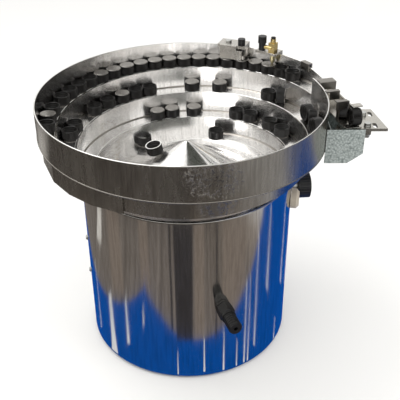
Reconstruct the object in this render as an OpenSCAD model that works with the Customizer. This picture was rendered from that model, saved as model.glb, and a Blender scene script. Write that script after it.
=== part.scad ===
// Vibratory bowl feeder: a spiral bowl on leaf springs over a round drive housing
// Frame: origin on the floor at the housing axis, Z up, outlet on the +X side
// Turns of the spiral are counted clockwise seen from above: 0 points along +X, 0.25 along -Y

/* [Housing] */
// Outer radius of the housing cylinder
housing_r = 187; // [175:1:200]
// Height of the housing's top edge above the floor
housing_h = 335; // [310:1:360]
// Sheet thickness of the housing
housing_wall = 2; // [1.5:0.5:3]
// Gap between the floor and the housing's lower edge
housing_lift = 4; // [2:1:8]
// Height of the rubber feet
foot_h = 14; // [10:1:20]
// Radius of a rubber foot
foot_r = 22; // [16:1:28]
// Distance from the housing's face in to the centre of a foot
foot_inset = 37; // [32:1:45]
// Thickness of the base plate
base_t = 20; // [14:1:30]

/* [Spiral] */
// How far the lip of the top turn starts outside the housing's radius
lip_over = 22; // [18:1:28]
// Growth of the radius in one turn
lip_pitch = 30; // [28:1:32]
// Height of the track above the housing where the top turn starts
track_over = 65; // [62:1:70]
// Climb of the track in one turn
track_pitch = 40; // [36:1:42]
// Thickness of the track and wall sheets
sheet_t = 2.5; // [2:0.5:3]
// Height of the rim above the track where the top turn starts
rim_h = 70; // [66:1:80]
// Depth of the bowl's floor below the housing's top edge
floor_sink = 27; // [24:1:32]
// Width of the flat ring of floor round the cone
floor_ring_w = 46; // [44:1:60]
// Height of the cone's tip above the bowl's floor
cone_h = 78; // [60:1:80]

/* [Skirt] */
// Height of the skirt's lower edge above the housing
skirt_over = 27; // [24:1:32]
// How far the skirt stays inside the rim
skirt_inset = 5; // [3:1:8]

/* [Outlet] */
// Length of the straight outlet track
outlet_len = 143; // [130:1:145]
// Length of the guard beside the outlet track
guard_len = 115; // [108:1:120]
// Height of the guard above the outlet track
guard_h = 18; // [14:1:22]
// Thickness of the slotted outlet plate
plate_t = 5; // [4:0.5:6]
// Width of the slots in the outlet plate
slot_w = 7; // [5:0.5:9]
// End to end length of a slot
slot_len = 18; // [14:1:22]
// Distance between the two slots
slot_spacing = 44; // [40:1:48]
// Depth of the return pan
pan_h = 61; // [54:1:64]
// Length of the return pan along Y
pan_len = 95; // [85:1:100]

/* [Drive] */
// Lean of the leaf springs from the vertical in degrees
spring_lean = 20; // [15:1:25]
// Distance from the housing's face in to the middle of a spring pack
spring_inset = 59; // [56:1:64]
// Width of a leaf
leaf_w = 40; // [30:1:46]
// Thickness of a leaf
leaf_t = 2.5; // [2:0.5:3]
// Leaves in one pack
leaf_count = 3; // [2:1:4]
// Air gap of the magnet
magnet_gap = 3; // [2:0.5:4]

/* [Tooling] */
// Width of the height gate's bracket
gate_w = 55; // [50:1:62]
// Travel of the gate blade
gate_travel = 9; // [5:1:10]
// Radius of the adjusting knob
gate_knob_r = 7; // [6:0.5:8]
// Outer diameter of the air tube that the jet takes
air_tube_d = 6; // [4:1:6]
// Radius of the flow control knob
flow_knob_r = 8; // [6:0.5:8]

/* [Side fittings] */
// Height of the cable gland's axis
gland_z = 155; // [140:1:170]
// Diameter of the cable that the gland takes
cable_d = 7; // [5:0.5:8]
// Radius of the clamp knob on the housing
knob_r = 24; // [18:1:26]
// Length of the clamp knob
knob_len = 22; // [16:1:26]
// Depth of the clamp knob's axis below the housing's top edge
knob_drop = 51; // [45:1:65]

/* [Hidden] */

$fn = 96;
// Number of flat steps in one turn of the spiral sheets
turn_steps = 72;
// Gap left for a weld or a seat between two pieces
seat = 0.3;
// Radial clearance of a shaft in its hole
run_clear = 0.05;
// Overrun that lets a cut pass through both faces
over = 1;

// Spiral of the track
pot_gap = 5;
pot_r = housing_r - housing_wall - pot_gap;
cone_r = pot_r - floor_ring_w;
lip_start_r = housing_r + lip_over;
track_start_z = housing_h + track_over;
floor_z = housing_h - floor_sink;
rim_top_z = track_start_z + rim_h;
skirt_z = housing_h + skirt_over;
shelf_gap = 6;
shelf_z = housing_h + shelf_gap;
ramp_start_z = floor_z + sheet_t + seat;
// Places along the spiral, as shares of a turn
turn_shelf = (shelf_z - track_start_z) / track_pitch;
ramp_top_share = -1.95;
first_share = -2.3;
low_end_share = -1.05;
rim_start_share = -0.05;
outlet_share = 0.95;
rim_fall_share = 0.9;
function lip_r(t) = lip_start_r + lip_pitch * t;
function wall_r(t) = lip_r(t + 1) - seat;
function ramp_share(t) = (t - first_share) / (ramp_top_share - first_share);
function track_z(t) =
  t > turn_shelf ? track_start_z + track_pitch * t :
  t > ramp_top_share ? shelf_z :
  ramp_start_z + (shelf_z - ramp_start_z) * ramp_share(t);
outlet_z = track_z(outlet_share);
guard_top_z = outlet_z + guard_h;
function rim_z(t) =
  t < rim_fall_share ? rim_top_z :
  rim_top_z - (rim_top_z - guard_top_z) * (t - rim_fall_share) / (outlet_share - rim_fall_share);
// How far the rim falls away from a straight bracket of width w at a turn
function rim_sag(w, t) = w * w / (8 * wall_r(t)) + lip_pitch * w / (4 * PI * wall_r(t));

// Frame of the outlet: its track runs straight from the end of the spiral
outlet_az = -360 * outlet_share;
outlet_dir = -75;
outlet_kink = outlet_az + 270 - outlet_dir;
outlet_w = lip_pitch - seat - sheet_t;
outlet_x0 = lip_r(outlet_share) * cos(outlet_az);
outlet_y0 = lip_r(outlet_share) * sin(outlet_az);

// Drive stack, counted up from the base plate and down from the bowl's floor
base_top = foot_h + base_t;
base_r = housing_r - housing_wall - seat;
foot_circle_r = housing_r - foot_inset;
floor_t = 3;
bowl_base_t = 10;
bowl_base_step = 18;
bowl_base_z = floor_z - floor_t - seat - bowl_base_t;
frame_t = 20;
frame_clear = 26.7;
frame_r = base_r - frame_clear;
bowl_base_r = frame_r - bowl_base_step;
frame_z = bowl_base_z - seat - frame_t;
clamp_h = 44;
clamp_len = 58;
clamp_margin = 5;
clamp_wide = leaf_w + 2 * clamp_margin;
clamp_low_z = base_top + seat;
clamp_up_z = frame_z - seat - clamp_h;
spring_circle_r = housing_r - spring_inset;
spring_mid_z = (clamp_low_z + clamp_up_z + clamp_h) / 2;
spring_end_gap = 4;
leaf_len = (clamp_up_z + clamp_h - clamp_low_z - 2 * spring_end_gap) / cos(spring_lean);
leaf_gap = 2;
pack_t = leaf_count * leaf_t + (leaf_count - 1) * leaf_gap;
clamp_shift = (clamp_low_z + clamp_h / 2 - spring_mid_z) * tan(spring_lean);
spring_az0 = 45;
clamp_screw_r = 5;
clamp_head_r = 8;
clamp_head_h = 6;
clamp_shank = 12;
clamp_screw_dx = 14;

// Magnet
core_w = 70;
core_d = 50;
core_h = 60;
core_window_w = 14;
core_window_h = 42;
core_leg_w = (core_w - 2 * core_window_w) / 4;
coil_t = core_window_w - 2 * over;
coil_h = core_window_h - 2 * over;
armature_h = 14;
armature_post_r = 18;
armature_post_h = 60;
armature_z = frame_z - seat - armature_post_h - armature_h;
core_z = armature_z - magnet_gap - core_h;
pedestal_r = 44;
pedestal_flange_r = 62;
pedestal_flange_h = 12;
pedestal_h = core_z - seat - base_top - seat;

// Fasteners
foot_screw_r = 4;
foot_head_r = 6.5;
foot_head_h = 8;
foot_screw_grip = 4;
table_bolt_r = 3.4;
table_bolt_depth = 8;
bowl_bolt_r = 4;
bowl_bolt_head_r = 6.5;
bowl_bolt_head_h = 8;
bowl_bolt_inset = 45;
bowl_bolt_circle_r = bowl_base_r - bowl_bolt_inset;
bowl_bolt_count = 6;
bowl_bolt_grip = 8;

// Struts that carry the housing shell
strut_w = 24;
strut_t = 12;
strut_left_az = -169;
knob_y = 15;
strut_right_az = asin(knob_y / housing_r);
strut_r = base_r - strut_t;
side_screw_r = 3;
side_screw_head_r = 5.5;
side_screw_head_h = 3;
side_screw_low_z = 132;
side_screw_high_z = 205;
side_screw_depth = 8;
strut_end = 27;
strut_left_top = side_screw_high_z + strut_end;
strut_floor_gap = 6;
strut_right_top = floor_z - floor_t - strut_floor_gap;

// Cable gland
gland_az = -70.6;
gland_thread_r = 10;
gland_flange_r = 14;
gland_flange_h = 6;
gland_neck_h = 11;
gland_neck_r = 11;
gland_locknut_r = 14;
gland_locknut_h = 5;
gland_nut_r = 14.5;
gland_nut_h = 20;
gland_dome_h = 6;
gland_sleeve_len = 30;
gland_sleeve_r0 = 11.5;
gland_sleeve_r1 = 11.8;
gland_rib = 1.2;
gland_rib_count = 6;
cable_r = cable_d / 2 + 2 * run_clear;

// Clamp knob and boss on the right of the housing
knob_z = housing_h - knob_drop;
knob_shaft_r = 5;
collar_r = 11;
collar_len = 14;
collar_spigot_r = 8;
knob_cap_r = 19;
knob_cap_t = 3;
knob_cap_sink = 1.5;
knob_groove_r = 2;
knob_groove_count = 24;
shaft_depth = 8;
boss_az = -9.2;
boss_w = 34;
boss_h = 36;
boss_len = 15;
boss_crown = 5;

// Skirt plates on the left of the bowl: where two plates meet, as shares of a turn
skirt_shares = [0.32, 0.361, 0.396, 0.43, 0.478, 0.54, 0.6];
skirt_spread_share = skirt_shares[4] - skirt_shares[0];
skirt_end_share = skirt_shares[len(skirt_shares) - 1];
skirt_r_start = wall_r(skirt_shares[0] - 1) + seat + sheet_t;
skirt_r_end = wall_r(skirt_shares[4]) - skirt_inset;
skirt_plate_share = sheet_t / (2 * PI * skirt_r_end);
wall_drop = 5;
drop_start_share = -0.86;
drop_rise_share = 0.1;

// Pieces at the outlet
cap_h = 17;
cap_clear = 1.6;
plate_gap = seat;
plate_z = outlet_z - sheet_t - plate_gap - plate_t;
plate_out = 67;
plate_down = 133.4;
plate_w = 39;
plate_l = 76;
plate_x0 = outlet_x0 + plate_out;
plate_x1 = plate_x0 + plate_w;
plate_y0 = outlet_y0 - plate_down;
plate_y1 = plate_y0 + plate_l;
plate_back_in = 13;
tongue_len = 31;
tongue_w = 25;
slot_in = 20;
slot_up = 34;
slot_x = plate_x0 + slot_in;
slot_mid_y = plate_y0 + slot_up;
plate_screw_r = 3;
plate_screw_in = 7;
plate_screw_up = 10;
plate_screw_gap = 42;
plate_screw_x = plate_x0 + plate_screw_in;
plate_screw_ys = [plate_y0 + plate_screw_up, plate_y0 + plate_screw_up + plate_screw_gap];
washer_r = 6;
washer_t = 1.6;
hex_r = 5.8;
hex_h = 4;
bar_w = 12;
bar_t = 8;
bar_len_y = 54;
bar_x0 = plate_screw_x - bar_w / 2;
bar_y0 = plate_y0 + (plate_screw_up + plate_screw_gap / 2) - bar_len_y / 2;
pan_t = 2;
pan_gap = 1;
pan_front = 15;
pan_over = 2;
pan_x1 = plate_x0 - pan_gap;
pan_x0 = wall_r(0) + seat;
pan_y0 = plate_y0 - pan_front;
pan_rim_r = wall_r(asin(-pan_y0 / pan_x0) / 360);
pan_front_x0 = sqrt(pan_rim_r * pan_rim_r - (pan_y0 + pan_t) * (pan_y0 + pan_t)) + seat;
pan_top_z = outlet_z + pan_over;
pan_low_top_z = plate_z - seat;
pan_chamfer_x = 25;
pan_chamfer_z = 18;
block_s0 = 12;
block_len = 18;
block_h = 16;
block_relief = 4;
hold_sheet = 2;
hold_flange = 8;
hold_rear_s = 62;
hold_rear_out = 18;
hold_front_s = 104;
hold_front_out = 14;
hold_front_in = 6.5;
chute_s0 = 113;
chute_s1 = 138;
chute_drop = 8;
chute_run = 9;
chute_fall = 14;
tab_s = 92;
tab_w = 12;
tab_out = 16;
tab_leg = 12;
clip_az = 33;
clip_w = 22;
clip_leg = 10;
clip_t = 3;

// Height gate over the top turn
gate_az = 69;
turn_gate = (360 - gate_az) / 360;
gate_rim_r = wall_r(turn_gate);
gate_lift = 8;
gate_t = 6;
gate_leg_t = 11;
gate_leg_x1 = gate_rim_r - sheet_t - rim_sag(gate_w, turn_gate) - seat;
gate_leg_x0 = gate_leg_x1 - gate_leg_t;
gate_outer_x0 = gate_rim_r + seat;
gate_top_z = rim_top_z + gate_lift;
gate_leg_clear = 5;
gate_leg_z = track_z(turn_gate) + cap_h + gate_leg_clear;
gate_outer_leg_h = 22;
blade_t = 4;
blade_side = 5;
blade_w = gate_w - 2 * blade_side;
blade_z = track_z(turn_gate) + cap_h + cap_clear;
blade_h = gate_top_z - blade_z;
spindle_r = 3;
spindle_side = 8;
spindle_y = spindle_side - gate_w / 2;
nut_w = 13;
nut_depth = 10;
nut_h = 8;
nut_x1 = gate_leg_x0 - seat;
gate_in_x = nut_x1 - nut_depth;
blade_x1 = gate_in_x - seat;
spindle_x = gate_in_x + nut_depth / 2;
blade_notch_y = spindle_y + gate_knob_r + over;
gate_knob_h = 13;
lock_side = 17;
lock_y = gate_w / 2 - lock_side;
lock_screw_r = 2.4;
lock_head_r = 6;
lock_head_h = 4;

// Air jet
air_az = 52;
turn_air = (360 - air_az) / 360;
air_rim_r = wall_r(turn_air);
air_plate_w = 44;
air_plate_in = 24;
air_plate_t = 5;
air_leg_h = 18;
air_outer_t = 4;
valve_in = 16;
valve_x = air_rim_r - valve_in;
valve_y = 12;
valve_r = 6.5;
valve_h = 13;
flow_stem_r = 2.5;
flow_knob_h = 13;
jet_in = 12;
jet_x = air_rim_r - jet_in;
jet_y = -10;
elbow_r = 6.5;
elbow_rise = 6.5;
elbow_tube_r = 4;
elbow_h = 17;
nozzle_r = 5;
nozzle_tip_r = 2;
nozzle_bore_r = 1;
nozzle_len = 18;
collar_port_r = 5;
collar_head_r = 4.6;
collar_head_h = 1.6;
collar_gap = 1.2;
collar_tube_h = 5;
collar_wall = 0.8;
port_h = 8;
port_bore_r = air_tube_d / 2 + collar_wall + 2 * run_clear;

// Point of a spiral sheet: r out from the axis, z up, t turns round
function at_turn(t, r, z) = [r * cos(-360 * t), r * sin(-360 * t), z];

// Cross section of a sheet: inner low, outer low, outer high, inner high
function section(t, r_in, r_out, z_low, z_high) = [
  at_turn(t, r_in, z_low), at_turn(t, r_out, z_low),
  at_turn(t, r_out, z_high), at_turn(t, r_in, z_high)
];

// Evenly spaced turns from t0 to t1
function turns(t0, t1) =
  let (n = ceil((t1 - t0) * turn_steps))
  [for (i = [0:n]) t0 + (t1 - t0) * i / n];

// Solid through a row of four-cornered sections
module swept(sections) {
  n = len(sections);
  polyhedron(
    points = [for (s = sections) each s],
    faces = concat(
      [[0, 1, 2], [0, 2, 3]],
      [for (i = [0:n - 2], j = [0:3])
        let (a = 4 * i + j, b = 4 * i + (j + 1) % 4) each [[a, a + 4, b + 4], [a, b + 4, b]]],
      [[4 * n - 1, 4 * n - 2, 4 * n - 3], [4 * n - 1, 4 * n - 3, 4 * n - 4]]
    )
  );
}

// Flat track strip between two turns
module track_strip(t0, t1) {
  swept([for (t = turns(t0, t1))
    section(t, lip_r(t), wall_r(t) - sheet_t - seat, track_z(t) - sheet_t, track_z(t))]);
}

// The lowest wall that is seen from outside reaches a little below its track
function wall_low(t) =
  track_z(t) - sheet_t - wall_drop * min(1, max(0, (t - drop_start_share) / drop_rise_share));

// Upright wall outside a track strip, up to the lip of the next turn
module wall_strip(t0, t1) {
  swept([for (t = turns(t0, t1))
    section(t, wall_r(t) - sheet_t, wall_r(t), wall_low(t), track_z(t + 1))]);
}

// Round bar along Z with a bore
module tube(r, bore, h) {
  difference() {
    cylinder(r = r, h = h);
    translate([0, 0, -over]) cylinder(r = bore, h = h + 2 * over);
  }
}

// Children copied round the four spring stations
module spring_stations() {
  for (k = [0:3]) rotate(spring_az0 + 90 * k) translate([spring_circle_r, 0, 0]) children();
}

// Children placed in the outlet's frame: X along the track, Y out, Z from the floor
module outlet_frame() {
  translate([outlet_x0, outlet_y0, 0]) rotate(outlet_dir) children();
}

// Children turned so that X points out at an azimuth
module at_azimuth(az) {
  rotate(az) children();
}

// Children laid so that Z points out of the housing at an azimuth and a height
module out_of_housing(az, z, r) {
  rotate(az) translate([r, 0, z]) rotate([0, 90, 0]) children();
}

// Children copied round the four feet
module foot_stations() {
  for (k = [0:3]) rotate(90 * k) translate([foot_circle_r, 0, 0]) children();
}

module base_plate() {
  color("dimgray")
  difference() {
    translate([0, 0, foot_h + seat]) cylinder(r = base_r, h = base_t - seat);
    foot_stations() cylinder(r = foot_screw_r + run_clear, h = base_top + over);
  }
}

// Rubber feet, tapped from below for bolts through a table
module rubber_feet() {
  color("black")
  foot_stations()
    difference() {
      cylinder(r = foot_r, h = foot_h);
      translate([0, 0, -over]) cylinder(r = table_bolt_r, h = table_bolt_depth + over);
      translate([0, 0, foot_h - foot_screw_grip - seat])
        cylinder(r = foot_screw_r + run_clear, h = foot_screw_grip + seat + over);
    }
}

module foot_screws() {
  color("silver")
  foot_stations() {
    translate([0, 0, base_top + seat])
      difference() {
        cylinder(r = foot_head_r, h = foot_head_h);
        translate([0, 0, foot_head_h / 2]) cylinder(r = foot_head_r / 2, h = foot_head_h, $fn = 6);
      }
    translate([0, 0, foot_h - foot_screw_grip])
      cylinder(r = foot_screw_r, h = base_t + foot_screw_grip + 2 * seat);
  }
}

module housing_shell() {
  color("silver")
  difference() {
    translate([0, 0, housing_lift]) tube(housing_r, housing_r - housing_wall, housing_h - housing_lift);
    for (z = [side_screw_low_z, side_screw_high_z])
      out_of_housing(strut_left_az, z, housing_r - housing_wall - over)
        cylinder(r = side_screw_r + run_clear, h = housing_wall + 2 * over);
    out_of_housing(strut_right_az, knob_z, housing_r - housing_wall - over)
      cylinder(r = collar_spigot_r + run_clear, h = housing_wall + 2 * over);
    out_of_housing(gland_az, gland_z, housing_r - housing_wall - over)
      cylinder(r = gland_thread_r + run_clear, h = housing_wall + 2 * over);
  }
}

module strut(az, top) {
  rotate(az)
    intersection() {
      translate([strut_r, -strut_w / 2, base_top + seat])
        cube([strut_t, strut_w, top - base_top - seat]);
      cylinder(r = base_r, h = top);
    }
}

module housing_struts() {
  color("gray")
  difference() {
    union() {
      strut(strut_left_az, strut_left_top);
      strut(strut_right_az, strut_right_top);
    }
    for (z = [side_screw_low_z, side_screw_high_z])
      out_of_housing(strut_left_az, z, base_r - side_screw_depth - seat)
        cylinder(r = side_screw_r + run_clear, h = side_screw_depth + over);
    out_of_housing(strut_right_az, knob_z, base_r - shaft_depth - seat)
      cylinder(r = knob_shaft_r + run_clear, h = shaft_depth + over);
  }
}

module housing_screws() {
  color("lightgray")
  for (z = [side_screw_low_z, side_screw_high_z])
    out_of_housing(strut_left_az, z, 0) {
      translate([0, 0, base_r - side_screw_depth])
        cylinder(r = side_screw_r, h = side_screw_depth + housing_wall + 2 * seat);
      translate([0, 0, housing_r + seat])
        cylinder(r1 = side_screw_head_r, r2 = side_screw_head_r / 2, h = side_screw_head_h);
    }
}

// Clamp block with an inclined slot for the leaf pack, centred on its own origin
module clamp_block(face) {
  difference() {
    translate([-clamp_wide / 2, -clamp_len / 2, -clamp_h / 2]) cube([clamp_wide, clamp_len, clamp_h]);
    rotate([-spring_lean, 0, 0])
      translate([-clamp_wide / 2 - over, -pack_t / 2 - seat, -clamp_h])
        cube([clamp_wide + 2 * over, pack_t + 2 * seat, 2 * clamp_h]);
    for (dx = [-clamp_screw_dx, clamp_screw_dx])
      translate([dx, face * (clamp_len / 2 + over), 0]) rotate([face * 90, 0, 0])
        cylinder(r = clamp_screw_r + run_clear, h = clamp_shank + over);
  }
}

module clamp_screws(face) {
  for (dx = [-clamp_screw_dx, clamp_screw_dx])
    translate([dx, face * (clamp_len / 2 + seat), 0]) {
      rotate([face * 90, 0, 0]) cylinder(r = clamp_screw_r, h = clamp_shank);
      rotate([-face * 90, 0, 0])
        difference() {
          cylinder(r = clamp_head_r, h = clamp_head_h);
          translate([0, 0, clamp_head_h / 2]) cylinder(r = clamp_head_r / 2, h = clamp_head_h, $fn = 6);
        }
    }
}

module lower_spring_clamps() {
  color("slategray")
  spring_stations() translate([0, clamp_shift, clamp_low_z + clamp_h / 2]) clamp_block(-1);
}

module lower_clamp_screws() {
  color("silver")
  spring_stations() translate([0, clamp_shift, clamp_low_z + clamp_h / 2]) clamp_screws(-1);
}

module upper_spring_clamps() {
  color("slategray")
  spring_stations() translate([0, -clamp_shift, clamp_up_z + clamp_h / 2]) clamp_block(1);
}

module upper_clamp_screws() {
  color("silver")
  spring_stations() translate([0, -clamp_shift, clamp_up_z + clamp_h / 2]) clamp_screws(1);
}

module leaf_springs() {
  color("goldenrod")
  spring_stations() translate([0, 0, spring_mid_z]) rotate([-spring_lean, 0, 0])
    for (i = [0:leaf_count - 1])
      translate([-leaf_w / 2, -pack_t / 2 + i * (leaf_t + leaf_gap), -leaf_len / 2])
        cube([leaf_w, leaf_t, leaf_len]);
}

// Spacers between the leaves at one end of each pack
module spacers(low_end) {
  spring_stations() translate([0, 0, spring_mid_z]) rotate([-spring_lean, 0, 0])
    for (i = [0:leaf_count - 2])
      translate([-leaf_w / 2, -pack_t / 2 + leaf_t + i * (leaf_t + leaf_gap), low_end])
        cube([leaf_w, leaf_gap, clamp_h]);
}

module lower_spacers() {
  color("silver") spacers(-leaf_len / 2);
}

module upper_spacers() {
  color("silver") spacers(leaf_len / 2 - clamp_h);
}

module magnet_pedestal() {
  color("dimgray")
  translate([0, 0, base_top + seat]) {
    cylinder(r = pedestal_r, h = pedestal_h);
    cylinder(r = pedestal_flange_r, h = pedestal_flange_h);
  }
}

// E-shaped stack of magnet plates, its legs pointing up
module magnet_core() {
  color("darkslategray")
  translate([-core_w / 2, -core_d / 2, core_z])
    difference() {
      cube([core_w, core_d, core_h]);
      for (x = [core_leg_w, core_w - core_leg_w - core_window_w])
        translate([x, -over, core_h - core_window_h])
          cube([core_window_w, core_d + 2 * over, core_window_h + over]);
    }
}

// Coil round the middle leg
module magnet_coil() {
  leg = core_w - 2 * core_leg_w - 2 * core_window_w;
  color("saddlebrown")
  translate([0, 0, core_z + core_h - core_window_h + seat])
    difference() {
      translate([-leg / 2 - coil_t, -core_d / 2 - coil_t, 0])
        cube([leg + 2 * coil_t, core_d + 2 * coil_t, coil_h]);
      translate([-leg / 2 - seat, -core_d / 2 - seat, -over])
        cube([leg + 2 * seat, core_d + 2 * seat, coil_h + 2 * over]);
    }
}

module armature() {
  color("darkslategray")
  union() {
    translate([-core_w / 2, -core_d / 2, armature_z]) cube([core_w, core_d, armature_h]);
    translate([0, 0, armature_z]) cylinder(r = armature_post_r, h = armature_h + armature_post_h);
  }
}

module top_frame() {
  color("dimgray")
  difference() {
    translate([0, 0, frame_z]) cylinder(r = frame_r, h = frame_t);
    for (k = [0:bowl_bolt_count - 1]) rotate(360 / bowl_bolt_count * k)
      translate([bowl_bolt_circle_r, 0, frame_z - over])
        cylinder(r = bowl_bolt_r + run_clear, h = frame_t + 2 * over);
  }
}

module bowl_base() {
  color("gray")
  difference() {
    translate([0, 0, bowl_base_z]) cylinder(r = bowl_base_r, h = bowl_base_t);
    for (k = [0:bowl_bolt_count - 1]) rotate(360 / bowl_bolt_count * k)
      translate([bowl_bolt_circle_r, 0, bowl_base_z - over])
        cylinder(r = bowl_bolt_r + run_clear, h = bowl_bolt_grip + over);
  }
}

module bowl_bolts() {
  color("silver")
  for (k = [0:bowl_bolt_count - 1]) rotate(360 / bowl_bolt_count * k)
    translate([bowl_bolt_circle_r, 0, frame_z - seat]) {
      cylinder(r = bowl_bolt_r, h = frame_t + 2 * seat + bowl_bolt_grip - seat);
      translate([0, 0, -bowl_bolt_head_h])
        cylinder(r = bowl_bolt_head_r, h = bowl_bolt_head_h);
    }
}

module bowl_floor() {
  color("gainsboro")
  translate([0, 0, floor_z - floor_t])
    difference() {
      cylinder(r = pot_r, h = floor_t);
      translate([0, 0, -over]) cylinder(r = cone_r, h = floor_t + 2 * over);
    }
}

// Cone in the middle of the floor, welded into the ring
module floor_cone() {
  tip_r = cone_r / 12;
  tip_z = floor_z + cone_h * 0.96;
  under = 1.4 * floor_t;
  color("gainsboro")
  rotate_extrude()
    polygon([
      [0, floor_z + cone_h], [tip_r, tip_z], [cone_r, floor_z], [cone_r, floor_z - floor_t],
      [cone_r - floor_t, floor_z - floor_t], [tip_r, tip_z - under], [0, floor_z + cone_h - under]
    ]);
}

// Upright wall from the bowl's floor to the lip of the lowest turn
module pot_wall() {
  color("lightgray")
  swept([for (t = turns(first_share - 1, first_share))
    section(t, wall_r(t) - sheet_t, wall_r(t), floor_z + seat, track_z(t + 1))]);
}

module track_lower() {
  color("whitesmoke") track_strip(first_share, low_end_share);
}

module wall_lower() {
  color("lightgray") wall_strip(first_share, low_end_share);
}

module track_middle() {
  color("whitesmoke") track_strip(low_end_share, rim_start_share);
}

module wall_middle() {
  color("lightgray") wall_strip(low_end_share, rim_start_share);
}

module track_upper() {
  color("whitesmoke") track_strip(rim_start_share, outlet_share);
}

module rim_wall() {
  color("silver")
  swept([for (t = turns(rim_start_share, outlet_share))
    section(t, wall_r(t) - sheet_t, wall_r(t), track_z(t) - sheet_t, rim_z(t))]);
}

function skirt_r(t) =
  skirt_r_start + (skirt_r_end - skirt_r_start) * min(1, (t - skirt_shares[0]) / skirt_spread_share);

// Straight welded plates that close the underside of the rim on the left
module left_skirt() {
  color("darkgray")
  union() {
    swept([for (t = skirt_shares)
      section(t, skirt_r(t) - sheet_t, skirt_r(t), skirt_z, track_z(t) - sheet_t - seat)]);
    swept([for (t = [skirt_end_share - skirt_plate_share, skirt_end_share])
      section(t, wall_r(skirt_end_share - 1) + seat, skirt_r_end - sheet_t / 2,
              skirt_z, track_z(skirt_shares[0]) - sheet_t - seat)]);
  }
}

// Straight track from the end of the spiral to the outlet
module outlet_track() {
  color("whitesmoke")
  outlet_frame() translate([0, 0, outlet_z - sheet_t])
    linear_extrude(sheet_t)
      polygon([
        [seat, 0], [seat - outlet_w * tan(outlet_kink), outlet_w - seat],
        [outlet_len, outlet_w - seat], [outlet_len, 0]
      ]);
}

module outlet_guard() {
  color("silver")
  outlet_frame() translate([-over, outlet_w, outlet_z - sheet_t])
    cube([guard_len + over, sheet_t, guard_top_z - outlet_z + sheet_t]);
}

// Machined block across the outlet track, standing on the guard's top edge
module tooling_block() {
  color("dimgray")
  outlet_frame() translate([block_s0, seat, guard_top_z + seat])
    difference() {
      cube([block_len, outlet_w + sheet_t - seat, block_h]);
      translate([-over, block_relief, -over])
        cube([block_len + 2 * over, outlet_w - 2 * block_relief, block_relief / 2 + over]);
    }
}

// Folded sheet over the track: a flange along the top and an upright face
module folded_hold_down(out, web) {
  cube([hold_flange, out, hold_sheet]);
  translate([hold_flange - hold_sheet, 0, -web]) cube([hold_sheet, out, web + hold_sheet]);
}

module hold_down_rear() {
  web = rim_top_z - outlet_z - cap_h - cap_clear;
  color("gray")
  outlet_frame() translate([hold_rear_s, 0, rim_top_z + seat]) {
    translate([0, seat, 0]) folded_hold_down(hold_rear_out, web);
    translate([0, -hold_front_in, 0]) cube([hold_flange, hold_front_in + over, hold_sheet]);
  }
}

module hold_down_front() {
  web = rim_top_z - outlet_z - cap_h - cap_clear;
  leg = rim_top_z - outlet_z + sheet_t;
  color("gray")
  outlet_frame() translate([hold_front_s, 0, rim_top_z]) {
    translate([0, -hold_front_in, 0]) folded_hold_down(hold_front_out + hold_front_in, web);
    translate([0, -seat - hold_sheet, -leg]) cube([hold_flange, hold_sheet, leg + hold_sheet]);
  }
}

// Bent sheet that lets rejected pieces slide from the lip into the return pan
module chute_sheet() {
  color("gainsboro")
  outlet_frame() translate([chute_s0, 0, 0])
    translate([chute_s1 - chute_s0, 0, 0]) rotate([90, 0, -90])
      linear_extrude(chute_s1 - chute_s0)
        polygon([
          [seat, outlet_z], [seat, outlet_z - chute_drop],
          [seat + chute_run, outlet_z - chute_drop - chute_fall],
          [seat + chute_run + hold_sheet, outlet_z - chute_drop - chute_fall + hold_sheet / 2],
          [seat + hold_sheet, outlet_z - chute_drop + hold_sheet / 2], [seat + hold_sheet, outlet_z]
        ]);
}

// Small angle on the outside of the guard
module guard_tab() {
  color("gray")
  outlet_frame() translate([tab_s, outlet_w + sheet_t + seat, guard_top_z]) {
    translate([0, 0, -hold_sheet]) cube([tab_w, tab_out, hold_sheet]);
    translate([0, 0, -tab_leg]) cube([tab_w, hold_sheet, tab_leg]);
  }
}

module slot_2d() {
  straight = slot_len - slot_w;
  translate([-slot_w / 2, -straight / 2]) square([slot_w, straight]);
  for (dy = [-1, 1]) translate([0, dy * straight / 2]) circle(d = slot_w);
}

module outlet_plate() {
  color("lightgray")
  translate([0, 0, plate_z])
    difference() {
      linear_extrude(plate_t)
        difference() {
          polygon([
            [plate_x0 - tongue_len, plate_y0], [plate_x1, plate_y0],
            [plate_x1 - plate_back_in, plate_y1], [plate_x0, plate_y1],
            [plate_x0, plate_y0 + tongue_w], [plate_x0 - tongue_len, plate_y0 + tongue_w]
          ]);
          for (dy = [-1, 1]) translate([slot_x, slot_mid_y + dy * slot_spacing / 2]) slot_2d();
        }
      for (y = plate_screw_ys) translate([plate_screw_x, y, -over])
        cylinder(r = plate_screw_r + run_clear, h = plate_t + 2 * over);
    }
}

// Bar clamped under the outlet plate
module clamp_bar() {
  color("dimgray")
  difference() {
    translate([bar_x0, bar_y0, plate_z - seat - bar_t]) cube([bar_w, bar_len_y, bar_t]);
    for (y = plate_screw_ys) translate([plate_screw_x, y, plate_z - seat - bar_t - over])
      cylinder(r = plate_screw_r + run_clear, h = bar_t + 2 * over);
  }
}

// Hexagon screws through the plate and the bar, with washers and nuts
module plate_screws() {
  top = plate_z + plate_t + seat;
  low = plate_z - 2 * seat - bar_t;
  color("silver")
  for (y = plate_screw_ys) translate([plate_screw_x, y, 0]) {
    translate([0, 0, top]) cylinder(r = washer_r, h = washer_t);
    translate([0, 0, top + washer_t]) cylinder(r = hex_r, h = hex_h, $fn = 6);
    translate([0, 0, low - hex_h - washer_t]) cylinder(r = plate_screw_r, h = top - low + hex_h + washer_t);
    translate([0, 0, low - washer_t]) cylinder(r = washer_r, h = washer_t);
    translate([0, 0, low - washer_t - hex_h]) cylinder(r = hex_r, h = hex_h, $fn = 6);
  }
}

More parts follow.
